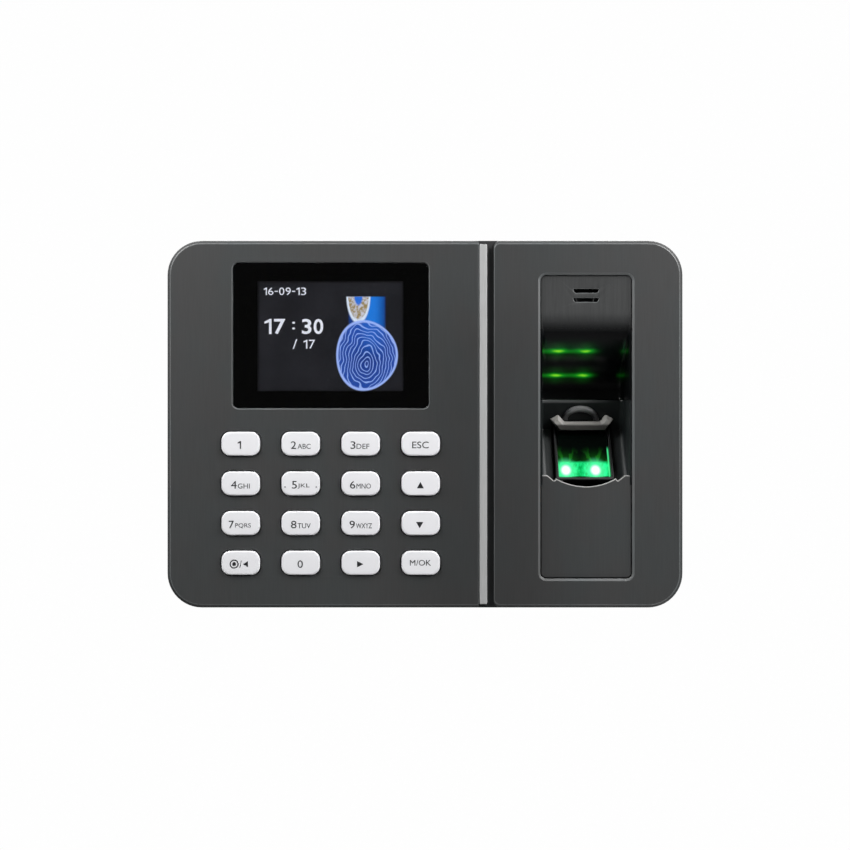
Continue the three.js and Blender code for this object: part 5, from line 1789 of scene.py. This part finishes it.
    def arch(self) -> None:
        """The round arch behind the bracket."""
        skin = Skin()
        x = self.mouth.middle[0] + self.arch_shift
        lines = (self.arch_inner, self.arch_outer)
        inner, outer = (arc((x, z), (wide, high), 0, 180, 28) for z, wide, high in lines)
        sections = []
        for (ix, iz), (ox, oz) in zip(inner, outer):
            points = [(ix, self.arch_back, iz)]
            for t in (i / 8 for i in range(9)):
                swell = math.sin(math.pi * (0.08 + 0.84 * t)) * self.arch_swell
                points.append((ix + (ox - ix) * t, self.arch_front - swell, iz + (oz - iz) * t))
            points.append((ox, self.arch_back, oz))
            sections.append(skin.loop(points))
        skin.wall(sections)
        skin.face(sections[0])
        skin.face(list(reversed(sections[-1])))
        skin.piece("hood_arch", [Look.ARCH], "terminal", 50.0)

    def thicken(self, made: bpy.types.Object) -> None:
        """Gives a sheet its thickness on the side away from the viewer.

        Args:
            made: the sheet.
        """
        shell = made.modifiers.new("shell", "SOLIDIFY")
        shell.thickness = self.thick * MM
        shell.offset = -1.0
        made.modifiers.move(len(made.modifiers) - 1, 0)

    def build(self) -> None:
        """Builds the well's pieces."""
        self.lining()
        self.cover()
        self.bracket()
        self.arch()


def soften(made: bpy.types.Object, width: float, segments: int = 2) -> None:
    """Rounds a piece's edges, before its shading is levelled.

    Args:
        made: the piece.
        width: how wide the rounding is.
        segments: how many chords it has.
    """
    weld = made.modifiers.new("weld", "WELD")
    weld.merge_threshold = MERGE
    soft = made.modifiers.new("soft", "BEVEL")
    soft.width = width * MM
    soft.segments = segments
    soft.limit_method = "ANGLE"
    soft.angle_limit = math.radians(20.0)
    soft.harden_normals = False
    for part in made.data.polygons:
        part.use_smooth = True
    if made.modifiers[0].type == "WEIGHTED_NORMAL":
        made.modifiers.move(0, len(made.modifiers) - 1)


NODES_BY_LOOK: dict[Look, Sequence[str]] = {
    Look.REAR: ("rear_shell",),
    Look.PRINT: ("lcd_panel",),
    Look.FRAME: ("lcd_frame", "lens_barrel", "speaker", "power_jack"),
    Look.RUBBER: ("keypad_mat",),
    Look.BOARD: ("keypad_board", "led_board", "camera_board", "main_board"),
    Look.SOCKET: ("sensor_body",),
    Look.SENSOR: ("sensor_prism",),
    Look.LAMP: ("green_led_left", "green_led_right"),
    Look.CHIP: ("processor", "memory_chip", "reset_switch", "tamper_switch"),
    Look.JACK: ("ethernet_jack", "usb_socket"),
    Look.KEY: ("reset_button", "tamper_plunger"),
    Look.ZINC: ("wall_plate",),
    Look.AMBER: ("lcd_ribbon", "keypad_ribbon", "sensor_ribbon"),
    Look.STEEL: (
        "clock_battery", "lock_screw", "board_screw_1", "board_screw_2",
        "case_screw_1", "case_screw_2", "case_screw_3", "case_screw_4",
    ),
}


@dataclass
class Carried:
    """CAD nodes that stay as they are, with a finish and softened edges."""

    nodes: dict[str, bpy.types.Object]
    softening: float = 0.25

    def dress(self, name: str, look: Look) -> None:
        """Gives a node its finish, unless a built piece replaces it.

        Args:
            name: the node's name.
            look: its finish.
        """
        made = self.nodes[name]
        if made.hide_render:
            return
        made.data.materials.clear()
        made.data.materials.append(look.material())
        soften(made, self.softening)
        level = made.modifiers.new("level", "WEIGHTED_NORMAL")
        level.keep_sharp = True
        log.info("%s: kept, %s", name, look.name.lower())

    def build(self) -> None:
        """Dresses every node that nothing replaces."""
        for look, names in NODES_BY_LOOK.items():
            for name in names:
                self.dress(name, look)


# ---------------------------------------------------------------- studio


@dataclass(frozen=True)
class SoftLight:
    """A soft rectangular light: its place and size in metres, and its power in watts."""

    name: str
    place: Place
    size: Point
    power: float
    mirrored: bool = True

    def build(self) -> None:
        """Adds the light, aimed at the terminal."""
        data = bpy.data.lights.new(self.name, "AREA")
        data.shape = "RECTANGLE"
        data.size, data.size_y = self.size
        data.energy = self.power
        lamp = bpy.data.objects.new(self.name, data)
        lamp.location = self.place
        lamp.visible_camera = False
        lamp.visible_glossy = self.mirrored
        lamp.rotation_euler = (-Vector(self.place)).to_track_quat("-Z", "Y").to_euler()
        bpy.context.scene.collection.objects.link(lamp)


@dataclass
class Studio:
    """The pale floor with its backdrop, the soft lights and the camera."""

    floor: float = -0.5
    wall: float = 1.2
    half: float = 2.2
    bend: float = 0.4
    distance: float = 0.5406
    lens: float = 62.2
    lower: float = -0.0003
    ambient: float = 0.03
    thrown: Colour = (0.1, 0.1, 0.1)
    lights: Sequence[SoftLight] = (
        SoftLight("key_light", (-0.34, -0.22, 0.32), (0.28, 0.3), 2.95),
        SoftLight("fill_light", (0.36, -0.2, 0.3), (0.28, 0.3), 3.3),
        SoftLight("low_light", (0.22, -0.1, -0.42), (0.5, 0.12), 1.5, mirrored=False),
        SoftLight("back_light", (0.0, 0.9, 0.9), (1.0, 0.6), 22.0),
    )

    def backdrop(self) -> None:
        """The floor, which curves up into the backdrop."""
        skin = Skin()
        line = [(-self.half, self.floor)]
        for i in range(13):
            a = i / 12 * math.pi / 2
            back = self.wall - self.bend * (1 - math.sin(a))
            line.append((back, self.floor + self.bend * (1 - math.cos(a))))
        line.append((self.wall, self.half))
        ends = (-self.half, self.half)
        rows = [skin.loop((x / MM, y / MM, z / MM) for x in ends) for y, z in line]
        skin.wall(rows, closed=False)
        data = bpy.data.meshes.new("studio_floor")
        for part in skin.mesh.faces:
            part.smooth = True
        skin.mesh.to_mesh(data)
        skin.mesh.free()
        data.materials.append(self.paper())
        floor = bpy.data.objects.new("studio_floor", data)
        bpy.context.scene.collection.objects.link(floor)

    def paper(self) -> bpy.types.Material:
        """Pale paper that shows white and throws little light back.

        Returns:
            The material.
        """
        graph = Graph("studio_paper")
        grain = graph.noise(4.0)
        shown = graph.node("ShaderNodeEmission", None, {
            "Color": graph.blend(grain, (0.985, 0.985, 0.985), (1.0, 1.0, 1.0)), "Strength": 1.0,
        })
        thrown = graph.node("ShaderNodeBsdfDiffuse", None, {"Color": self.thrown})
        seen = graph.node("ShaderNodeLightPath", out="Is Camera Ray")
        mixed = graph.node("ShaderNodeMixShader", None, {0: seen, 1: thrown, 2: shown})
        graph.node("ShaderNodeOutputMaterial", None, {"Surface": mixed})
        return graph.material

    def sky(self) -> None:
        """Dim light from everywhere, and white where the camera sees past the floor."""
        world = bpy.data.worlds.new("studio")
        bpy.context.scene.world = world
        world.use_nodes = True
        nodes, links = world.node_tree.nodes, world.node_tree.links
        nodes.clear()
        path = nodes.new("ShaderNodeLightPath")
        dim = nodes.new("ShaderNodeBackground")
        dim.inputs["Color"].default_value = (1.0, 1.0, 1.0, 1.0)
        dim.inputs["Strength"].default_value = self.ambient
        white = nodes.new("ShaderNodeBackground")
        white.inputs["Color"].default_value = (1.0, 1.0, 1.0, 1.0)
        mixed = nodes.new("ShaderNodeMixShader")
        out = nodes.new("ShaderNodeOutputWorld")
        links.new(path.outputs["Is Camera Ray"], mixed.inputs[0])
        links.new(dim.outputs[0], mixed.inputs[1])
        links.new(white.outputs[0], mixed.inputs[2])
        links.new(mixed.outputs[0], out.inputs[0])

    def camera(self) -> None:
        """The camera, straight in front of the terminal."""
        data = bpy.data.cameras.new("camera")
        data.lens = self.lens
        data.sensor_width = 36.0
        data.clip_start = 0.01
        camera = bpy.data.objects.new("camera", data)
        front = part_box("front_shell")[0].y
        camera.location = (0.0, front - self.distance, self.lower)
        camera.rotation_euler = (math.pi / 2, 0.0, 0.0)
        bpy.context.scene.collection.objects.link(camera)
        bpy.context.scene.camera = camera

    def build(self) -> None:
        """Builds the studio."""
        self.backdrop()
        self.sky()
        for light in self.lights:
            light.build()
        self.camera()
        bpy.context.scene.view_settings.view_transform = "Standard"


def main() -> None:
    """Builds the terminal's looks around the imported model."""
    logging.basicConfig(level=logging.INFO, format="%(message)s", stream=sys.stdout)
    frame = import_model()
    keypad = Keypad()
    Housing(keys=[key.name for key in keypad.keys]).build()
    Display().build()
    keypad.build()
    FingerWell().build()
    Carried(frame["nodes"]).build()
    Studio().build()


if __name__ == "__main__":
    main()
